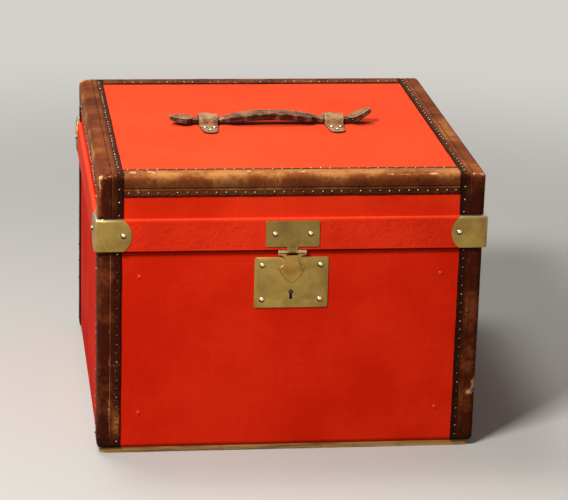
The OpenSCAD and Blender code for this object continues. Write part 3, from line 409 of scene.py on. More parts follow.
def leather_strip(name, body, patches, marks, kind, crease, tones, dirt, fold, worn, soiled=(), shades=()):
    """One strip over the canvas. Kind tells nailed, cut and butted edges apart. Tones are those of its faces
    across X, Y and Z. The worn places, some of them painted highlights, the soiled places and the shades
    are soft spots."""
    shell = box_skin(patches, marks)
    edges = {"nailed": [], "cut": [], "butted": []}
    for v in shell.verts:
        if v.is_boundary:
            edges[kind(*v.co)].append(v.co.copy())
    flat = np.array([v.co for v in shell.verts])
    inset = distance_from(edges["nailed"], flat)
    free = np.minimum(inset, distance_from(edges["cut"], flat))
    butt = distance_from(edges["butted"], flat)
    foot, head = (0.0, lid_top) if body == "lid" else (0.005, 1.0)
    low = np.array((-half_width, -half_depth, foot)) + outer_radius
    high = np.array((half_width, half_depth, head)) - outer_radius
    core = np.clip(flat, low, high)
    out = flat - core
    out /= np.linalg.norm(out, axis=1, keepdims=True)
    # It is round at its cut edges, and sinks a little where strips meet and where its nails are driven
    rise = np.sqrt(1 - (1 - np.clip(free / cut_radius, 0, 1)) ** 2) * leather_thickness - skin_depth
    rise -= butt_dip * np.exp(-(butt / butt_reach) ** 2)
    rise -= nail_pull * np.exp(-((inset - nail_inset) / pull_reach) ** 2)
    rise += np.array([wander(v, 0.016, 3.0)[0] * 0.00016 for v in flat])
    placed = core + out * (outer_radius - leather_thickness + rise)[:, None]
    # A knife cut its edges by hand, so they wander by half a millimetre
    drift = np.array([wander(v, 0.022, 8.0) * 0.0004 + wander(v, 0.006, 6.0) * 0.0003 for v in flat])
    drift -= out * (drift * out).sum(1, keepdims=True)
    placed += drift * (np.clip(1 - free / 0.008, 0, 1) * np.clip(butt / 0.003, 0, 1))[:, None]
    for v, at in zip(shell.verts, placed):
        v.co = at
    mesh = bpy.data.meshes.new(name)
    shell.to_mesh(mesh)
    shell.free()
    # Hands and shelves rub the arrises most on the lid
    arris = np.clip((1 - np.abs(out).max(1)) / 0.29, 0, 1.3) * (0.34 if body == "lid" else 0.2)
    pale = spots_at(placed, shades)
    keep(mesh, inset=inset, rim=np.minimum(free, butt), crease=inset - crease, dirt=dirt * (1 - pale),
         fold=np.full(len(flat), fold), grime=spots_at(placed, soiled), wear=arris + spots_at(placed, worn),
         tone=(np.array(tones) * out ** 2).sum(1) + 0.95 * pale)
    mesh.materials.append(cowhide)
    mesh.shade_smooth()
    strip = linked(name, mesh)
    wall = strip.modifiers.new("underside", "SOLIDIFY")
    wall.thickness, wall.offset = underside_depth, -1
    settle(strip)
    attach(strip, body)
    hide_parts(name)


# Waxed cowhide: red-brown, near black with dirt along the nails, bleached to tan on the top edges,
# and pale where the grain is rubbed off the arrises. Its clouds are 40 mm wide and its wrinkles
# 5 mm. Its grit and pores are 1.6 mm, several times as coarse as real ones, so that they show.
cowhide, tree, at = blank_material("waxed_cowhide")
inset, rim, crease, dirt, grime, fold, wear, tone = (
    add(tree, "ShaderNodeAttribute", attribute_name=n).outputs["Fac"]
    for n in ("inset", "rim", "crease", "dirt", "grime", "fold", "wear", "tone"))
clouds = add(tree, "ShaderNodeTexNoise", {"Vector": at, "Scale": 24.0, "Detail": 8.0, "Roughness": 0.6})
fine = add(tree, "ShaderNodeTexNoise", {"Vector": at, "Scale": 190.0, "Detail": 6.0, "Roughness": 0.7})
grit = add(tree, "ShaderNodeTexNoise", {"Vector": at, "Scale": 620.0, "Detail": 3.0})
pores = add(tree, "ShaderNodeTexVoronoi", {"Vector": at, "Scale": 620.0}).outputs["Distance"]
aged = varied(tree, tone, (clouds, 0.3, 0.7, -0.34, 0.34), (fine, 0.3, 0.7, -0.14, 0.14))
# Dirt gathers in a band along the nails, and on the soiled places
nail_dirt = varied(tree, dirt, (clouds, 0.3, 0.7, -0.25, 0.25))
nail_dirt = varied(tree, nail_dirt, (inset, 0.0065, 0.0105, 1.0, 0.0), operation="MULTIPLY")
soil = varied(tree, grime, (clouds, 0.3, 0.7, 0.6, 1.1), operation="MULTIPLY")
soil = add(tree, "ShaderNodeMath", {0: nail_dirt, 1: soil}, operation="MAXIMUM")
# Each strip has a crease beside its nails: a valley painted dark as shade, and next to it a lip
# painted pale as a highlight, where it would catch the light
from_valley = add(tree, "ShaderNodeMath", {0: crease, 1: -0.0005})
from_valley = add(tree, "ShaderNodeMath", {0: from_valley}, operation="ABSOLUTE")
valley = add(tree, "ShaderNodeMapRange", enumerate([from_valley, 0.0003, 0.001, 1.0, 0.0]),
             interpolation_type="SMOOTHSTEP")
crease_shade = varied(tree, valley, (tone, 0.0, 0.5, 0.3, 0.8), operation="MULTIPLY")
from_lip = add(tree, "ShaderNodeMath", {0: crease, 1: 0.0006})
from_lip = add(tree, "ShaderNodeMath", {0: from_lip}, operation="ABSOLUTE")
lip_highlight = varied(tree, fold, (clouds, 0.35, 0.6, 0.2, 1.0), (grime, 0.1, 0.5, 1.0, 0.0),
                (from_lip, 0.0003, 0.0009, 1.0, 0.0), operation="MULTIPLY")
ragged = varied(tree, rim, (fine, 0.3, 0.7, -0.0012, 0.0008))
rubbed = varied(tree, wear, (fine, 0.2, 0.8, -0.4, 0.4), (grit, 0.3, 0.7, -0.14, 0.14))
colour = coated(tree, "#3E150A", ("#793C1B", aged, -0.2, 0.6), ("#B3753E", aged, 0.5, 1.2),
                ("#1D0E08", soil), ("#220C05", crease_shade), ("#B97A48", lip_highlight),
                ("#1F0D0A", ragged, 0.0006, 0.0026, 0.85, 0.0),
                ("#8C4E26", rubbed, 0.3, 0.62, 0.0, 0.7), ("#C8A276", rubbed, 0.6, 0.8, 0.0, 0.9))
pitted = add(tree, "ShaderNodeBump", {"Strength": 0.35, "Distance": 0.0003, "Height": pores})
wrinkled = add(tree, "ShaderNodeBump", {"Strength": 0.6, "Distance": 0.0007, "Height": fine,
                                        "Normal": pitted})
grooved = add(tree, "ShaderNodeBump", {"Strength": 0.8, "Distance": 0.0005, "Height": valley,
                                       "Normal": wrinkled}, invert=True)
surface(tree, {"Base Color": colour, "Roughness": varied(tree, 0.45, (fine, 0.3, 0.7, 0.0, 0.15)),
               "Specular IOR Level": 0.02, "Normal": grooved})

post_spots = {
    ("left", "front"): [((-0.2170, -0.242, 0.110), (0.005, 0.01, 0.035), 0.3),
                        ((-0.2248, -0.242, 0.058), (0.0017, 0.01, 0.028), 0.66),
                        ((-0.2246, -0.242, 0.122), (0.0013, 0.01, 0.012), 0.50),
                        ((-0.2244, -0.242, 0.160), (0.0012, 0.01, 0.016), 0.55),
                        ((-0.2330, -0.242, 0.006), (0.004, 0.008, 0.003), 0.55)],
    ("right", "front"): [((0.2385, -0.241, 0.085), (0.006, 0.006, 0.012), 0.95),
                         ((0.2300, -0.242, 0.073), (0.005, 0.01, 0.005), 0.85),
                         ((0.2240, -0.242, 0.190), (0.0012, 0.01, 0.05), 0.45)],
    ("left", "back"): [((-0.239, 0.240, 0.020), (0.010, 0.010, 0.010), 0.7)],
    ("right", "back"): [((0.239, 0.240, 0.030), (0.008, 0.008, 0.014), 0.7)],
}
post_looks = {"left": {"tones": (-0.06, -0.06, -0.06), "dirt": 0.45, "fold": 0.35},
              "right": {"tones": (0.02, 0.02, 0.02), "dirt": 0.75, "fold": 0.1}}
# Their feet are black with floor dirt, and one tan patch shows low on the front left post
post_soil = [((0, 0, post_foot), (anywhere, anywhere, 0.020), 0.95),
             ((-0.2330, -0.242, 0.078), (0.006, 0.006, 0.045), 0.4)]
post_shades = [((-0.2155, -0.242, 0.041), (0.0065, 0.006, 0.019), 0.9)]
for (across, along), spots in post_spots.items():
    x, y = (-1 if across == "left" else 1), (-1 if along == "front" else 1)
    x_run = sorted((x * (half_width - post_width), x * half_width))
    y_run = sorted((y * (half_depth - post_width), y * half_depth))
    heights = (post_foot, body_rim)
    leather_strip(f"body_binding_{along}_{across}", "trunk_body",
                  [(1, y * half_depth, x_run, heights), (0, x * half_width, y_run, heights)],
                  [x_run, y_run, heights],
                  lambda a, b, c: "cut" if min(abs(c - h) for h in heights) < 1e-6 else "nailed",
                  crease=0.0145, worn=spots, soiled=post_soil, shades=post_shades, **post_looks[across])

side_wear_and_highlights = {
    -1: [((-0.240, -0.242, 0.354), (0.006, 0.006, 0.009), 0.75),
         ((-0.239, -0.240, 0.363), (0.006, 0.006, 0.005), 0.6),
         ((-0.232, 0.236, 0.363), (0.011, 0.013, 0.008), 0.9),
         ((-0.224, -0.238, 0.362), (0.006, 0.004, 0.004), 0.3),
         ((-0.239, -0.02, 0.363), (0.006, 0.17, 0.006), -0.3)],
    # The corner spot and the streak along the top front arris on the right are painted highlights
    1: [((0.239, -0.241, 0.362), (0.007, 0.006, 0.004), 0.5),
        ((0.239, 0.241, 0.361), (0.010, 0.006, 0.008), 0.6),
        ((0.226, -0.2405, 0.3630), (0.014, 0.002, 0.0018), 0.6)],
}
side_tones = {-1: (0.8, -0.08, 0.38), 1: (0.42, -0.08, 0.5)}
side_arris_soil = {-1: 0.6, 1: 0.1}
shoulder = lid_top - side_drop
for x, spots in side_wear_and_highlights.items():
    top_run = sorted((x * (half_width - side_on_top), x * half_width))
    whole = (-half_depth, half_depth)
    patches = [(2, lid_top, top_run, whole), (0, x * half_width, whole, (shoulder, lid_top))]
    for y in (-1, 1):
        leg_depth = sorted((y * (half_depth - post_width), y * half_depth))
        patches += [(1, y * half_depth, top_run, (above_brass, lid_top)),
                    (0, x * half_width, leg_depth, (above_brass, shoulder))]
    leather_strip("lid_binding_left" if x < 0 else "lid_binding_right", "lid", patches,
                  [top_run, [-half_depth, -half_depth + post_width, half_depth - post_width, half_depth],
                   [above_brass, shoulder, lid_top]],
                  lambda a, b, c: "cut" if abs(c - above_brass) < 1e-6 else "nailed",
                  crease=0.0139, tones=side_tones[x], dirt=0.7, fold=0.15, worn=spots,
                  soiled=[((x * 0.2375, -0.04, 0.3625), (0.0035, 0.19, 0.003), side_arris_soil[x]),
                          ((x * 0.2240, -0.242, 0.322), (0.02, 0.01, 0.026), 0.36)],
                  shades=[((-0.224, -0.2405, 0.357), (0.020, 0.010, 0.012), -0.25)])

end_wear_and_highlights = {
    -1: [((-0.196, -0.229, 0.364), (0.008, 0.007, 0.004), 0.95),
         ((-0.176, -0.227, 0.364), (0.008, 0.006, 0.004), 0.8),
         ((-0.170, -0.233, 0.364), (0.004, 0.005, 0.004), 0.7),
         ((-0.054, -0.227, 0.364), (0.009, 0.006, 0.004), 0.75),
         ((0.010, -0.231, 0.364), (0.012, 0.005, 0.004), 0.6),
         ((0.040, -0.232, 0.364), (0.03, 0.005, 0.004), 0.5),
         ((0.090, -0.228, 0.364), (0.015, 0.006, 0.004), 0.4),
         # These two along the top front arris on the right are painted highlights
         ((0.130, -0.239, 0.362), (0.03, 0.002, 0.002), 0.35),
         ((0.176, -0.238, 0.362), (0.011, 0.003, 0.002), 0.55),
         ((-0.19, -0.242, 0.345), (0.010, 0.01, 0.006), 0.35)],
    1: [((0.05, 0.24, 0.362), (0.05, 0.006, 0.006), 0.3),
        ((-0.02, 0.214, 0.364), (0.02, 0.003, 0.004), 0.5)],
}
end_tones = {-1: (0.3, 0.62, 1.02), 1: (0.1, 0.1, 0.25)}
# The front strip is darker along its inner edge and along its crease, and darker on the right
end_dark_bands = [((0, -0.2146, 0.364), (anywhere, 0.0058, 0.004), 1.6),
            ((0, -0.242, 0.349), (anywhere, 0.004, 0.007), 0.5)]
end_shades = [((0.13, -0.242, 0.346), (0.10, 0.008, 0.012), -0.25)]
for y, spots in end_wear_and_highlights.items():
    # The ends are tucked a little under the side strips
    reach = half_width - side_on_top + 0.0006
    top_run = sorted((y * (half_depth - (front_on_top if y < 0 else back_on_top)), y * half_depth))
    heights = (lid_top - front_drop, lid_top)
    leather_strip("lid_binding_front" if y < 0 else "lid_binding_back", "lid",
                  [(2, lid_top, (-reach, reach), top_run), (1, y * half_depth, (-reach, reach), heights)],
                  [(-reach, reach), top_run, heights],
                  lambda a, b, c: "nailed" if abs(c - heights[0]) < 1e-6 else
                  "butted" if abs(abs(a) - reach) < 1e-6 else "cut",
                  crease=0.0104, tones=end_tones[y], dirt=0.6, fold=0.85, worn=spots, soiled=end_dark_bands,
                  shades=end_shades)


# Binding nails
# Small cut nails with low domed heads, 2.2 mm across, hold the leather's cut edges down. They are
# driven by hand along a scribed line, about 12 mm apart, and are tarnished in patches.

nail_sizes = {"Pitch": 0.0117, "Head radius": 0.0011, "Head height": 0.0010}
nail_sink = 0.0004
strayed = 0.0004


def set_along(name, line, sizes, stand, material):
    """A row of small solids along the edges of a mesh, a pitch apart. Stand adds the nodes that turn and size
    them on their spots."""
    row = linked(name, line)
    tree = bpy.data.node_groups.new(name, "GeometryNodeTree")
    tree.interface.new_socket("Lines", in_out="INPUT", socket_type="NodeSocketGeometry")
    sockets = {n: tree.interface.new_socket(n, in_out="INPUT", socket_type="NodeSocketFloat") for n in sizes}
    tree.interface.new_socket("Solids", in_out="OUTPUT", socket_type="NodeSocketGeometry")
    given = add(tree, "NodeGroupInput")
    curve = add(tree, "GeometryNodeMeshToCurve", {"Mesh": given.outputs["Lines"]})
    spots = add(tree, "GeometryNodeResampleCurve", {"Curve": curve, "Length": given.outputs["Pitch"]},
                mode="LENGTH")
    real = add(tree, "GeometryNodeRealizeInstances", {"Geometry": stand(tree, given, spots)})
    smooth = add(tree, "GeometryNodeSetShadeSmooth", {"Geometry": real})
    made = add(tree, "GeometryNodeSetMaterial", {"Geometry": smooth, "Material": material})
    add(tree, "NodeGroupOutput", {"Solids": made})
    rule = row.modifiers.new("row", "NODES")
    rule.node_group = tree
    for n, value in sizes.items():
        rule[sockets[n].identifier] = value
    settle(row)
    return row


def nail_heads(tree, given, spots):
    """Low round heads that point as their row faces. A hammer never lands quite on the line."""
    ball = add(tree, "GeometryNodeMeshUVSphere", {"Segments": 10, "Rings": 6, "Radius": 1.0})
    radius = given.outputs["Head radius"]
    size = add(tree, "ShaderNodeCombineXYZ", {"X": radius, "Y": radius, "Z": given.outputs["Head height"]})
    out = add(tree, "GeometryNodeInputNamedAttribute", {"Name": "facing"}, data_type="FLOAT_VECTOR")
    turn = add(tree, "FunctionNodeAlignRotationToVector", {"Vector": out}, axis="Z")
    uneven = add(tree, "FunctionNodeRandomValue",
                 {"Min": (0.85, 0.85, 0.7), "Max": (1.12, 1.12, 1.15), "Seed": 4}, data_type="FLOAT_VECTOR")
    scale = add(tree, "ShaderNodeVectorMath", {0: size, 1: uneven}, operation="MULTIPLY")
    heads = add(tree, "GeometryNodeInstanceOnPoints", {"Points": spots, "Instance": ball, "Rotation": turn,
                                                       "Scale": scale})
    off = add(tree, "FunctionNodeRandomValue", {"Min": (-strayed,) * 3, "Max": (strayed,) * 3, "Seed": 9},
              data_type="FLOAT_VECTOR")
    return add(tree, "GeometryNodeTranslateInstances", {"Instances": heads, "Translation": off,
                                                        "Local Space": False})


def nail_rows(name, rows, body):
    """Nail heads along rows. A row is its first and last point and the direction its heads point in."""
    line = bpy.data.meshes.new(name)
    points = [tuple(Vector(p) + Vector(out) * nail_sink) for first, last, out in rows for p in (first, last)]
    line.from_pydata(points, [(2 * i, 2 * i + 1) for i in range(len(rows))], [])
    facing = line.attributes.new("facing", "FLOAT_VECTOR", "POINT")
    facing.data.foreach_set("vector", [c for _, _, out in rows for c in (*out, *out)])
    nails = set_along(name, line, nail_sizes, nail_heads, tack_metal)
    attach(nails, body)


# Tarnished steel heads: dull silver under grey-brown tarnish, with less tarnish on the lid. The
# tarnish changes every 6 mm, so from nail to nail.
tack_metal, tree, at = blank_material("tarnished_tack_heads")
tarnish = add(tree, "ShaderNodeTexNoise", {"Vector": at, "Scale": 160.0, "Detail": 3.0})
height = add(tree, "ShaderNodeSeparateXYZ", {0: at}).outputs["Z"]
tarnish = varied(tree, tarnish, (height, 0.27, 0.32, 0.13, 0.0))
metal = coated(tree, "#B3A288", ("#43382A", tarnish, 0.46, 0.7))
surface(tree, {"Base Color": metal, "Metallic": 0.8, "Roughness": 0.36})

leather_x, leather_y, leather_z = half_width - skin_depth, half_depth - skin_depth, lid_top - skin_depth
post_line_x, post_line_y = half_width - post_width + nail_inset, half_depth - post_width + nail_inset
post_run, post_side_run = (0.017, 0.264), (0.020, 0.262)
rows = []
for x in (-1, 1):
    for y in (-1, 1):
        rows.append([(x * post_line_x, y * leather_y, z) for z in post_run] + [(0, y, 0)])
        rows.append([(x * leather_x, y * post_line_y, z) for z in post_side_run] + [(x, 0, 0)])
nail_rows("body_binding_nails", rows, "trunk_body")

leg_run, leg_side_run = (0.313, 0.346), (0.313, 0.331)
top_run, side_run = (-0.230, 0.230), (-0.205, 0.205)
line_x, line_z = half_width - side_on_top + nail_inset, lid_top - front_drop + nail_inset
end_x = half_width - side_on_top - 0.006
end_inset = 0.0050
rows = []
for x in (-1, 1):
    rows.append([(x * line_x, y, leather_z) for y in top_run] + [(0, 0, 1)])
    rows.append([(x * leather_x, y, line_z) for y in side_run] + [(x, 0, 0)])
    for y in (-1, 1):
        rows.append([(x * line_x, y * leather_y, z) for z in leg_run] + [(0, y, 0)])
        rows.append([(x * leather_x, y * post_line_y, z) for z in leg_side_run] + [(x, 0, 0)])
for y, on_top in ((-1, front_on_top), (1, back_on_top)):
    rows.append([(x, y * leather_y, line_z) for x in (-end_x, end_x)] + [(0, y, 0)])
    # On top the same strips are nailed nearer to their edges
    line_y = y * (half_depth - on_top + end_inset)
    rows.append([(x, line_y, leather_z) for x in (-end_x, end_x)] + [(0, 0, 1)])
nail_rows("lid_binding_nails", rows, "lid")


# Brass corners and lock plates
# Corners, lock plate and hasp plate are cut from sheet brass, their edges broken with a file, and
# never lacquered. They have aged to an even olive gold with browner clouds and fine scratches.

filed_width = 0.0003


def merged_copy(name):
    """A CAD piece's mesh with its doubles merged, and its triangles too where its faces are flat."""
    shell = bmesh.new()
    shell.from_mesh(cad_nodes[name].data)
    bmesh.ops.remove_doubles(shell, verts=shell.verts, dist=2e-6)
    bmesh.ops.dissolve_limit(shell, angle_limit=math.radians(0.5), verts=shell.verts, edges=shell.edges)
    mesh = bpy.data.meshes.new(name)
    shell.to_mesh(mesh)
    shell.free()
    return mesh


def broken_edges(name, material, body, worn=(), soiled=(), grain=0.0):
    """A copy of a CAD piece, with its sharp edges broken as a file leaves them, that replaces it. With
    a grain it is remade that fine, and its edges are rounded as handling leaves them."""
    mesh = merged_copy(name)
    mesh.materials.append(material)
    mesh.shade_smooth()
    piece = linked(name + "_filed", mesh)
    if grain:
        remade = piece.modifiers.new("remade", "REMESH")
        remade.mode, remade.voxel_size, remade.use_smooth_shade = "VOXEL", grain, True
        rounded = piece.modifiers.new("rounded", "SMOOTH")
        rounded.factor, rounded.iterations = 0.5, 6
    else:
        filed = piece.modifiers.new("broken_edges", "BEVEL")
        filed.width, filed.segments, filed.limit_method = filed_width, 2, "ANGLE"
        filed.angle_limit, filed.harden_normals = math.radians(35), True
    settle(piece)
    # Edges that face down are painted darker as painted shade, and so are the soiled places given
    places = [v.co for v in piece.data.vertices]
    underside_shade = np.array([max(-v.normal.z, 0.0) for v in piece.data.vertices])
    keep(piece.data, wear=spots_at(places, worn), grime=underside_shade + spots_at(places, soiled))
    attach(piece, body)
    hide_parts(name)


def aged_brass(name, clear, cloudy, rough):
    """Unlacquered brass that has dulled in the air; it gives soft, cloudy reflections crossed by
    scratches. Its clouds are 33 mm wide and its specks 2 mm. The scratches are 0.5 mm apart, coarse
    enough to show."""
    material, tree, at = blank_material(name)
    wear, grime = (add(tree, "ShaderNodeAttribute", attribute_name=n).outputs["Fac"]
                   for n in ("wear", "grime"))
    clouds = add(tree, "ShaderNodeTexNoise", {"Vector": at, "Scale": 30.0, "Detail": 5.0, "Roughness": 0.55,
                                              "Distortion": 0.3})
    specks = add(tree, "ShaderNodeTexNoise", {"Vector": at, "Scale": 420.0, "Detail": 4.0})
    rubbed_at = add(tree, "ShaderNodeMapping", {"Vector": at, "Rotation": (0.1, 0.08, 0.1),
                                                "Scale": (60.0, 60.0, 1900.0)})
    scratches = add(tree, "ShaderNodeTexNoise", {"Vector": rubbed_at, "Scale": 1.0, "Detail": 2.0})
    # The grime attribute is painted shade. The wear attribute is rubbed brass, and on the hasp, its plate and
    # the corners' lips also painted glints and highlights
    colour = coated(tree, clear, (cloudy, clouds, 0.34, 0.66), ("#6A7440", clouds, 0.24, 0.36, 0.4, 0.0),
                    ("#4C3D1C", specks, 0.62, 0.8, 0.0, 0.5), ("#2E200C", grime, 0.2, 0.6, 0.0, 0.85),
                    ("#E3D9BE", wear))
    uneven = add(tree, "ShaderNodeBump", {"Strength": 0.2, "Distance": 0.0005, "Height": clouds})
    scratched = add(tree, "ShaderNodeBump", {"Strength": 0.5, "Distance": 0.00005, "Height": scratches,
                                             "Normal": uneven})
    # Clouds dull it, and where it is worn or carries a painted glint it is polished
    polish = varied(tree, rough, (clouds, 0.3, 0.7, 0.0, 0.14), (wear, 0.0, 0.8, 0.0, 0.16 - rough))
    surface(tree, {"Base Color": colour, "Metallic": 0.9, "Roughness": polish, "Normal": scratched})
    return material


sheet_brass = aged_brass("aged_sheet_brass", "#B8994F", "#92753C", 0.34)
# The corners' upper lips are painted pale, as rubbed brass and as a painted highlight
lip_wear_and_highlight = [((0, 0, above_brass), (anywhere, anywhere, 0.0012), 0.75)]
for corner in ("front_left", "front_right", "back_left", "back_right"):
    broken_edges(f"corner_brass_{corner}", sheet_brass, "lid", worn=lip_wear_and_highlight)
broken_edges("lock_plate", sheet_brass, "trunk_body")
# Its knuckle's ends carry painted glints, and painted shade sits where the knuckle leaves the plate
# and on the middle of the knuckle
browned_brass = aged_brass("browned_sheet_brass", "#A08443", "#7E6634", 0.36)
broken_edges("hasp_plate", browned_brass, "lid",
             worn=[((x, -0.2475, 0.2650), (0.0012, 0.003, 0.0016), 0.9) for x in (-0.0066, 0.0066)],
             soiled=[((0, -0.2460, 0.2720), (0.0085, 0.004, 0.0030), 0.4),
                     ((0, -0.2465, 0.2655), (0.007, 0.003, 0.003), 0.3)], grain=0.0004)


# Hasp
# The hasp is a brass casting with a crowned front, filed and polished. Hands keep it warmer and
# brighter than the plates. Its ears and knuckles carry painted glints, and a painted shadow lines
# the two arcs of its shield and a band across its neck.

arc_radius, arc_x, arc_z = 0.029, 0.0122, 0.2509
arc_painted_shadow = [((side * (arc_radius * math.cos(turn) - arc_x), -0.2435, arc_z - arc_radius * math.sin(turn)),
              (0.0009, 0.004, 0.0009), 0.4) for side in (-1, 1) for turn in np.linspace(0.21, 1.13, 24)]
painted_glints = ((0.0125, -0.2460, 0.2655, 0.0095, 0.0016, 0.6),
                (0.0170, -0.2470, 0.2645, 0.0012, 0.0022, 0.9),
                (0.0150, -0.2440, 0.2464, 0.0024, 0.0016, 1.0))
broken_edges("hasp", aged_brass("handled_cast_brass", "#C0954C", "#956D30", 0.26), "hasp",
             worn=[((side * x, y, z), (wide, 0.003, high), strength)
                   for x, y, z, wide, high, strength in painted_glints for side in (-1, 1)],
             soiled=[((0, -0.2448, 0.2575), (0.008, 0.003, 0.0012), 0.35), *arc_painted_shadow], grain=0.0003)


# Dome nails
# Solid brass nails hold the corners, the plates and the handle's loops. Their domes are rubbed
# bright and carry a painted highlight, and painted shade sits round their feet and on the lower
# side of nails in upright faces.


def dome_nails(name, body, material, dome_height):
    """Copies of the CAD nails that know how near their feet each point of their heads is."""
    mesh = merged_copy(name)
    mesh.materials.append(material)
    mesh.shade_smooth()
    crown = np.zeros(len(mesh.vertices))
    links = {v.index: [] for v in mesh.vertices}
    for e in mesh.edges:
        a, b = e.vertices
        links[a].append(b)
        links[b].append(a)
    left = set(links)
    while left:
        found, fresh = set(), [left.pop()]
        while fresh:
            v = fresh.pop()
            found.add(v)
            fresh += [w for w in links[v] if w in left]
            left -= set(links[v])
        at = np.array([mesh.vertices[i].co for i in found])
        # A nail is longest along its shank, and its head is the end away from the trunk's middle
        axis = int(np.argmax(np.ptp(at, axis=0)))
        side = np.sign(at[:, axis].mean())
        # The crown is painted pale and the foot dark: rubbed brass with a painted highlight over painted
        # shade
        crown_light = 1 - ((side * at[:, axis]).max() - side * at[:, axis]) / dome_height
        # In an upright face the lower side of a nail is painted darker and the upper side paler, as painted
        # shade and highlight
        if axis != 2:
            crown_light += 2.2 * (at[:, 2] - at[:, 2].mean()) / np.ptp(at[:, 2]) - 0.2
        crown[list(found)] = np.clip(crown_light, 0, 1)
    keep(mesh, crown=crown)
    nails = linked(name + "_rubbed_and_lit", mesh)
    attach(nails, body)
    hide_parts(name)


# Rubbed dome brass: pale and shiny on the crown, as rubbed brass and a painted highlight, and dark brown
# at the foot as painted shade
dome_brass, tree, at = blank_material("rubbed_and_lit_dome_brass")
crown = add(tree, "ShaderNodeAttribute", attribute_name="crown").outputs["Fac"]
specks = add(tree, "ShaderNodeTexNoise", {"Vector": at, "Scale": 380.0, "Detail": 3.0})
rubbed = varied(tree, crown, (specks, 0.3, 0.7, -0.12, 0.12))
surface(tree, {"Base Color": coated(tree, "#33240D", ("#EFDDAE", rubbed, 0.2, 0.8)), "Metallic": 0.85,
               "Roughness": varied(tree, 0.5, (rubbed, 0.0, 0.5, 0.0, -0.28))})
for node, body, head_height in (("corner_nails", "lid", 0.0022), ("hasp_plate_nails", "lid", 0.0022),
                                ("handle_loop_nails", "lid", 0.0019),
                                ("lock_plate_nails", "trunk_body", 0.0022)):
    dome_nails(node, body, dome_brass, head_height)


# Lock works and lid hinges
# The lock's case, bolt, spring and drill pin and the two back hinges are mild steel, left bare and
# oiled. It has gone dull grey-brown with a bloom of rust, in patches 11 mm wide.

mild_steel, tree, at = blank_material("oiled_mild_steel")
bloom = add(tree, "ShaderNodeTexNoise", {"Vector": at, "Scale": 90.0, "Detail": 7.0, "Roughness": 0.65})
pits = add(tree, "ShaderNodeTexNoise", {"Vector": at, "Scale": 900.0, "Detail": 3.0})
etched = add(tree, "ShaderNodeBump", {"Strength": 0.4, "Distance": 0.0001, "Height": pits})
rusted = coated(tree, "#6E6A64", ("#5A3A26", bloom, 0.52, 0.72, 0.0, 0.8))
surface(tree, {"Base Color": rusted, "Metallic": 0.9,
               "Roughness": varied(tree, 0.36, (bloom, 0.4, 0.7, 0.0, 0.26)), "Normal": etched})
dress(mild_steel, "lock_case", "lock_drill_pin", "lock_spring", "lock_bolt", "hasp_pin",
      "hinge_body_leaf_left", "hinge_body_leaf_right", "hinge_lid_leaf_left", "hinge_lid_leaf_right",
      "hinge_pin_left", "hinge_pin_right", "hinge_body_rivets", "hinge_lid_rivets",
      "body_rivet_washers", "lid_rivet_washers")


# Handle loops
# Each loop is one strap of harness leather, bent over the handle's neck and nailed down at both
# ends. Its outer face is paler than its inner one, partly rubbed grain and partly painted light
# and shade, and it narrows to round tabs.

canvas_top = 0.362
loop_centre, loop_width, loop_thickness = 0.083, 0.025, 0.0025
loop_reach, loop_inner, loop_room, tab_taper = 0.050, 0.0068, 0.0103, 0.0025
leather_ripple = 0.0003
seam_depth, seam_spread = 0.0003, 0.11


def bar_ring(half_wide, half_thick, corner, seams=()):
    """Outline of a bar's section, wide along its first number, with round corners and grooves at its
    side seams."""
    ring = []
    for across, up, start in ((1, 1, 0.0), (-1, 1, 0.25), (-1, -1, 0.5), (1, -1, 0.75)):
        for k in range(6):
            turn = 2 * math.pi * (start + 0.05 * k)
            ring.append((across * (half_wide - corner) + corner * math.cos(turn),
                         up * (half_thick - corner) + corner * math.sin(turn)))
        if up > 0 > across or across > 0 > up:
            for seam in sorted(seams, reverse=across < 0):
                for shift in (seam_spread, 0.0, -seam_spread):
                    ring.append((across * (half_wide - (seam_depth if shift == 0 else 0.0)),
                                 half_thick * (seam + (shift if across < 0 else -shift))))
    return ring


def closed_skin(name, rings, material):
    """A mesh from rings of points with its ends closed and its faces outwards."""
    count = len(rings[0])
    faces = [tuple(range(count)), tuple(range((len(rings) - 1) * count, len(rings) * count))]
    for i in range(len(rings) - 1):
        for k in range(count):
            n = (k + 1) % count
            faces.append((i * count + k, i * count + n, (i + 1) * count + n, (i + 1) * count + k))
    made = mesh_object(name, [p for ring in rings for p in ring], faces, material)
    tidy = bmesh.new()
    tidy.from_mesh(made.data)
    bmesh.ops.recalc_face_normals(tidy, faces=tidy.faces)
    tidy.to_mesh(made.data)
    tidy.free()
    return made


def swept_bar(name, path, across, widths, thicknesses, corner, tone, worn=(), seams=()):
    """A leather bar with round corners along a path, which keeps how near its side and how high each
    point is."""
    path = [Vector(p) for p in path]
    across = Vector(across)
    rings, near_side, lit_top = [], [], []
    for i, p in enumerate(path):
        ahead = (path[min(i + 1, len(path) - 1)] - path[max(i - 1, 0)]).normalized()
        up = across.cross(ahead).normalized()
        soft = min(corner, 0.98 * widths[i], 0.98 * thicknesses[i])
        rings.append([])
        for a, b in bar_ring(widths[i], thicknesses[i], soft, seams):
            at = p + across * a + up * b
            rings[-1].append(at + wander(at, 0.011, 2.0) * leather_ripple)
            near_side.append(widths[i] - abs(a))
            # Upper faces are painted paler than the sides and underside: painted light and shade, besides
            # wear
            lit_top.append(tone * min(max(b / thicknesses[i] * 1.4 - 0.4, 0.0), 1.0))
    bar = closed_skin(name, rings, harness)
    keep(bar.data, inset=near_side, tone=lit_top, wear=spots_at([p for r in rings for p in r], worn))
    return bar


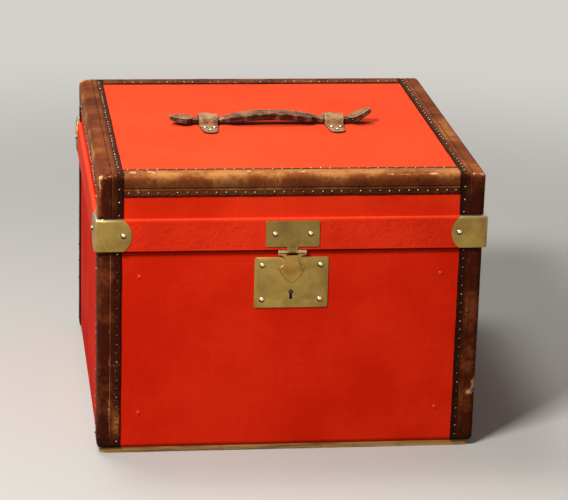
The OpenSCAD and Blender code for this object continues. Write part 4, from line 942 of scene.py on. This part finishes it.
# Worn harness leather: dark red-brown and dry, with the grain worn off the high places to a rough
# tan. Its tops are painted paler and its sides and undersides darker, partly as wear and partly as
# painted light and shade. Its clouds are 14 mm wide, its cracks 3 mm apart and its grit 1.4 mm,
# coarse enough to show.
harness, tree, at = blank_material("worn_harness_leather")
inset, tone, wear = (add(tree, "ShaderNodeAttribute", attribute_name=n).outputs["Fac"]
                     for n in ("inset", "tone", "wear"))
clouds = add(tree, "ShaderNodeTexNoise", {"Vector": at, "Scale": 70.0, "Detail": 7.0, "Roughness": 0.6})
drawn_at = add(tree, "ShaderNodeMapping", {"Vector": at, "Scale": (90.0, 520.0, 520.0)})
drawn = add(tree, "ShaderNodeTexNoise", {"Vector": drawn_at, "Scale": 1.0, "Detail": 5.0, "Roughness": 0.65})
grit = add(tree, "ShaderNodeTexNoise", {"Vector": at, "Scale": 700.0, "Detail": 3.0})
cracks = add(tree, "ShaderNodeTexVoronoi", {"Vector": at, "Scale": 300.0}, feature="DISTANCE_TO_EDGE")
aged = varied(tree, tone, (clouds, 0.32, 0.68, -0.45, 0.45), (drawn, 0.3, 0.7, -0.12, 0.12))
high_edge = varied(tree, tone, (inset, 0.0006, 0.0026, 0.5, 0.0), operation="MULTIPLY")
rubbed = add(tree, "ShaderNodeMath", {0: high_edge, 1: wear})
rubbed = varied(tree, rubbed, (grit, 0.3, 0.7, -0.2, 0.2), (clouds, 0.3, 0.7, -0.2, 0.2))
colour = coated(tree, "#3C160D", ("#97694A", aged, -0.1, 1.1), ("#AD8862", rubbed, 0.25, 0.75),
                ("#1F0D07", cracks, 0.0, 0.05, 0.5, 0.0))
rough_side = add(tree, "ShaderNodeBump", {"Strength": 0.5, "Distance": 0.0004, "Height": drawn})
split = add(tree, "ShaderNodeBump", {"Strength": 0.4, "Distance": 0.0004, "Height": cracks,
                                     "Normal": rough_side})
surface(tree, {"Base Color": colour, "Roughness": varied(tree, 0.4, (clouds, 0.3, 0.7, 0.0, 0.2)),
               "Specular IOR Level": 0.1, "Normal": split})

rail = loop_inner + loop_thickness / 2
bend_start = loop_inner + loop_thickness
flat_z = canvas_top + loop_thickness / 2
crown_z = canvas_top + loop_room + loop_thickness / 2
crown_rise = 0.0002
inside_bend, outside_bend = 0.0022, 0.0042
quarter = math.pi / 2
half_path = [(y, flat_z) for y in np.linspace(-loop_reach, -rail - inside_bend, 30)]
for turn in np.linspace(0, quarter, 6)[1:]:
    half_path.append((-rail - inside_bend + inside_bend * math.sin(turn),
                      flat_z + inside_bend * (1 - math.cos(turn))))
half_path.append((-rail, crown_z - outside_bend - 0.001))
for turn in np.linspace(0, quarter, 8):
    half_path.append((-rail + outside_bend * (1 - math.cos(turn)),
                      crown_z - outside_bend + outside_bend * math.sin(turn)))
loop_path = half_path + [(0.0, crown_z + crown_rise)] + [(-y, z) for y, z in reversed(half_path)]
tip_radius = loop_width / 2 - tab_taper
narrowest = 0.0012
widths = []
for y, z in loop_path:
    left = loop_reach - abs(y)
    drawn_in = min(max((abs(y) - bend_start) / (loop_reach - tip_radius - bend_start), 0.0), 1.0)
    full = loop_width / 2 - tab_taper * drawn_in
    rounded = math.sqrt(max(tip_radius ** 2 - (tip_radius - left) ** 2, 0.0))
    widths.append(max(narrowest, full if left > tip_radius else rounded))
for x, node in ((-1, "handle_loop_left"), (1, "handle_loop_right")):
    middle = x * loop_centre
    loop_worn = [((middle, 0.0, crown_z), (0.016, 0.009, 0.006), 0.22),
                 ((middle - 0.008, -0.009, crown_z), (0.006, 0.005, 0.006), 0.35),
                 ((middle + 0.009, -0.010, crown_z), (0.004, 0.006, 0.006), 0.3)]
    loop = swept_bar(node, [(middle, y, z) for y, z in loop_path], (1, 0, 0), widths,
                     [loop_thickness / 2] * len(widths), corner=0.0009, tone=0.84, worn=loop_worn)
    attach(loop, "lid")
    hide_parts(node)


# Handle
# A strap of two stitched layers of harness leather runs through the loops, arches up between them
# and ends in thick pads that can't slip through. It is built as two halves that meet in the middle
# of the grip.

strap_bottom = canvas_top + 0.0012
strap_thickness, strap_neck, strap_grip, strap_shave = 0.0076, 0.012, 0.022, 0.0004
arch_half, arch_rise = 0.0665, 0.0076
grip_half, grip_taper, grip_filler = 0.0525, 0.010, 0.0009
pad_start, pad_length, pad_width, pad_tip_width, pad_thickness = 0.1021, 0.031, 0.025, 0.015, 0.0096
pad_sink, pad_skive, pad_ripple = 0.0006, 0.42, 0.0004
flat_tilt, raised_tilt = math.radians(8), math.radians(26)
pad_top_lightness = {-1: 0.76, 1: 0.9}
seam_inset, pad_seam_inset = 0.0026, 0.0026
stitch_sizes = {"Pitch": 0.0042, "Length": 0.0032, "Thread radius": 0.0006}


def strap_height(x):
    """Height of the strap's middle over the lid at a distance from the handle's middle."""
    x = abs(x)
    radius = (arch_half ** 2 + arch_rise ** 2) / (2 * arch_rise)
    arch = math.sqrt(max(radius ** 2 - x ** 2, 0)) - radius + arch_rise if x < arch_half else 0.0
    return strap_bottom + strap_thickness / 2 + max(arch, 0.0)


def from_hand_to_neck(x):
    """0 in the hand, 1 in the loops, smooth between them."""
    t = min(max((abs(x) - grip_half + 0.006) / (grip_taper + 0.008), 0.0), 1.0)
    return t * t * (3 - 2 * t)


def strap_half_width(x):
    """Half the strap's width at a distance from the handle's middle, broadest in the hand."""
    t = from_hand_to_neck(x)
    return (strap_grip * (1 - t) + strap_neck * t) / 2 + 0.001 * (1 - t)


def lying_stitches(tree, given, spots):
    """Slim threads that lie along their seam and dip into the leather at both ends."""
    ball = add(tree, "GeometryNodeMeshUVSphere", {"Segments": 6, "Rings": 5, "Radius": 1.0})
    half = add(tree, "ShaderNodeMath", {0: given.outputs["Length"], 1: 0.5}, operation="MULTIPLY")
    radius = given.outputs["Thread radius"]
    size = add(tree, "ShaderNodeCombineXYZ", {"X": radius, "Y": radius, "Z": half})
    along = add(tree, "GeometryNodeInputTangent")
    turn = add(tree, "FunctionNodeAlignRotationToVector", {"Vector": along}, axis="Z")
    return add(tree, "GeometryNodeInstanceOnPoints", {"Points": spots, "Instance": ball, "Rotation": turn,
                                                      "Scale": size})


def stitch_row(name, points):
    """Waxed thread along a row of points, as separate stitches."""
    line = bpy.data.meshes.new(name)
    line.from_pydata([tuple(p) for p in points], [(i, i + 1) for i in range(len(points) - 1)], [])
    row = set_along(name, line, stitch_sizes, lying_stitches, linen)
    return row


# Waxed linen thread: once cream, now the colour of the hands that held it, and it changes every 5 mm
linen, tree, at = blank_material("waxed_linen_thread")
hand_soil = add(tree, "ShaderNodeTexNoise", {"Vector": at, "Scale": 220.0, "Detail": 3.0})
surface(tree, {"Base Color": coated(tree, "#A88C66", ("#6E5034", hand_soil, 0.35, 0.65)), "Roughness": 0.7,
               "Specular IOR Level": 0.3})


def pad_outline(inset, count=14):
    """Outline of an end pad, from its broad shoulder at the strap to its narrower tip, drawn in by an
    inset."""
    shoulder, tip = pad_width / 2, pad_tip_width / 2
    lean = math.asin((shoulder - tip) / (pad_length - shoulder - tip))
    points = []
    for k in range(2 * count + 1):
        turn = (math.pi / 2 - lean) * (k / count - 1)
        points.append((pad_length - tip + (tip - inset) * math.cos(turn), (tip - inset) * math.sin(turn)))
    for k in range(2 * count + 1):
        turn = math.pi / 2 - lean + (math.pi + 2 * lean) * k / (2 * count)
        points.append((shoulder + (shoulder - inset) * math.cos(turn), (shoulder - inset) * math.sin(turn)))
    return points


def end_pad(name, side, tilt, body):
    """Three round-edged layers of leather, skived thinner towards the tip, stitched through and tilted up."""
    start = Vector((pad_start + pad_thickness * math.sin(tilt), 0, strap_bottom - pad_sink))

    def lift(x, y, z):
        thin = 1 - pad_skive * min(max(x / pad_length, 0.0), 1.0)
        z = pad_thickness / 2 + (z - pad_thickness / 2) * thin
        at = start + Vector((x * math.cos(tilt) - z * math.sin(tilt), y,
                             x * math.sin(tilt) + z * math.cos(tilt)))
        at.x *= side
        return at

    # Rings at a height, drawn in by an inset: each layer's edge is round
    layer = pad_thickness / 3
    levels = []
    for k in range(3):
        low, high = k * layer, (k + 1) * layer
        levels += [(low + 0.0001, 0.0009), (low + 0.0005, 0.0003), (low + 0.0010, 0.0), (high - 0.0010, 0.0),
                   (high - 0.0005, 0.0003), (high - 0.0001, 0.0009)]
    # The top layer is domed, and the seam pulls it down round its edge
    levels += [(pad_thickness + 0.0001, 0.0018), (pad_thickness - 0.0004, 0.0027), (pad_thickness, 0.0036),
               (pad_thickness + 0.0004, 0.0050), (pad_thickness + 0.0005, 0.0065)]
    rings, near_side, lit_top, rubbed = [], [], [], []
    for z, inset in levels:
        rings.append([])
        for x, y in pad_outline(inset):
            at = lift(x, y, z)
            rings[-1].append(at + wander(at, 0.014, 5.0) * pad_ripple)
            near_side.append(inset)
            # Only the top layer is painted pale: painted light, besides wear
            lit_top.append(pad_top_lightness[side] if z > pad_thickness - 0.001 else 0.0)
            rubbed.append(0.6 if abs(z % layer - layer + 0.0005) < 0.0001 else 0.0)
    pad = closed_skin(name, rings, harness)
    keep(pad.data, inset=near_side, tone=lit_top, wear=rubbed)
    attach(pad, body)
    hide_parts(body)
    seam = [lift(x, y, pad_thickness) for x, y in pad_outline(pad_seam_inset, count=20)]
    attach(stitch_row(name + "_stitches", seam), body)


# The strap is rubbed pale beside the loops and along the grip's front, most on the left
strap_wear = {-1: (0.8, 0.3), 1: (0.2, 0.15)}
for side, word, tilt in ((-1, "left", flat_tilt), (1, "right", raised_tilt)):
    end = f"handle_end_{word}"
    xs = np.linspace(0.0, pad_start + 0.006, 110)
    # A filler between the layers makes the strap thicker in the hand, on its underside
    filler = [grip_filler * (1 - from_hand_to_neck(x)) for x in xs]
    thick = [strap_thickness / 2 - strap_shave + f for f in filler]
    middle = [strap_height(x) + strap_shave - f for x, f in zip(xs, filler)]
    at_neck, at_grip = strap_wear[side]
    worn = [((side * 0.066, -0.003, 0.371), (0.005, 0.007, 0.006), at_neck),
            ((side * 0.030, -0.008, 0.379), (0.02, 0.004, 0.003), at_grip)]
    half = swept_bar(f"handle_strap_{word}", [(side * x, 0.0, z) for x, z in zip(xs, middle)],
                     (0, -side, 0), [strap_half_width(x) for x in xs], thick, corner=0.0014, tone=0.44,
                     worn=worn, seams=(0.0,))
    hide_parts("handle_grip", end)
    seam_end = loop_centre - loop_width / 2 - 0.002
    for y, edge in ((-1, "front"), (1, "back")):
        seam = [(side * x, y * (strap_half_width(x) - seam_inset), z + t)
                for x, z, t in zip(xs, middle, thick) if x < seam_end]
        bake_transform(stitch_row(f"handle_stitches_{word}_{edge}", seam))
    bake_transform(half)
    end_pad(f"handle_pad_{word}", side, tilt, end)
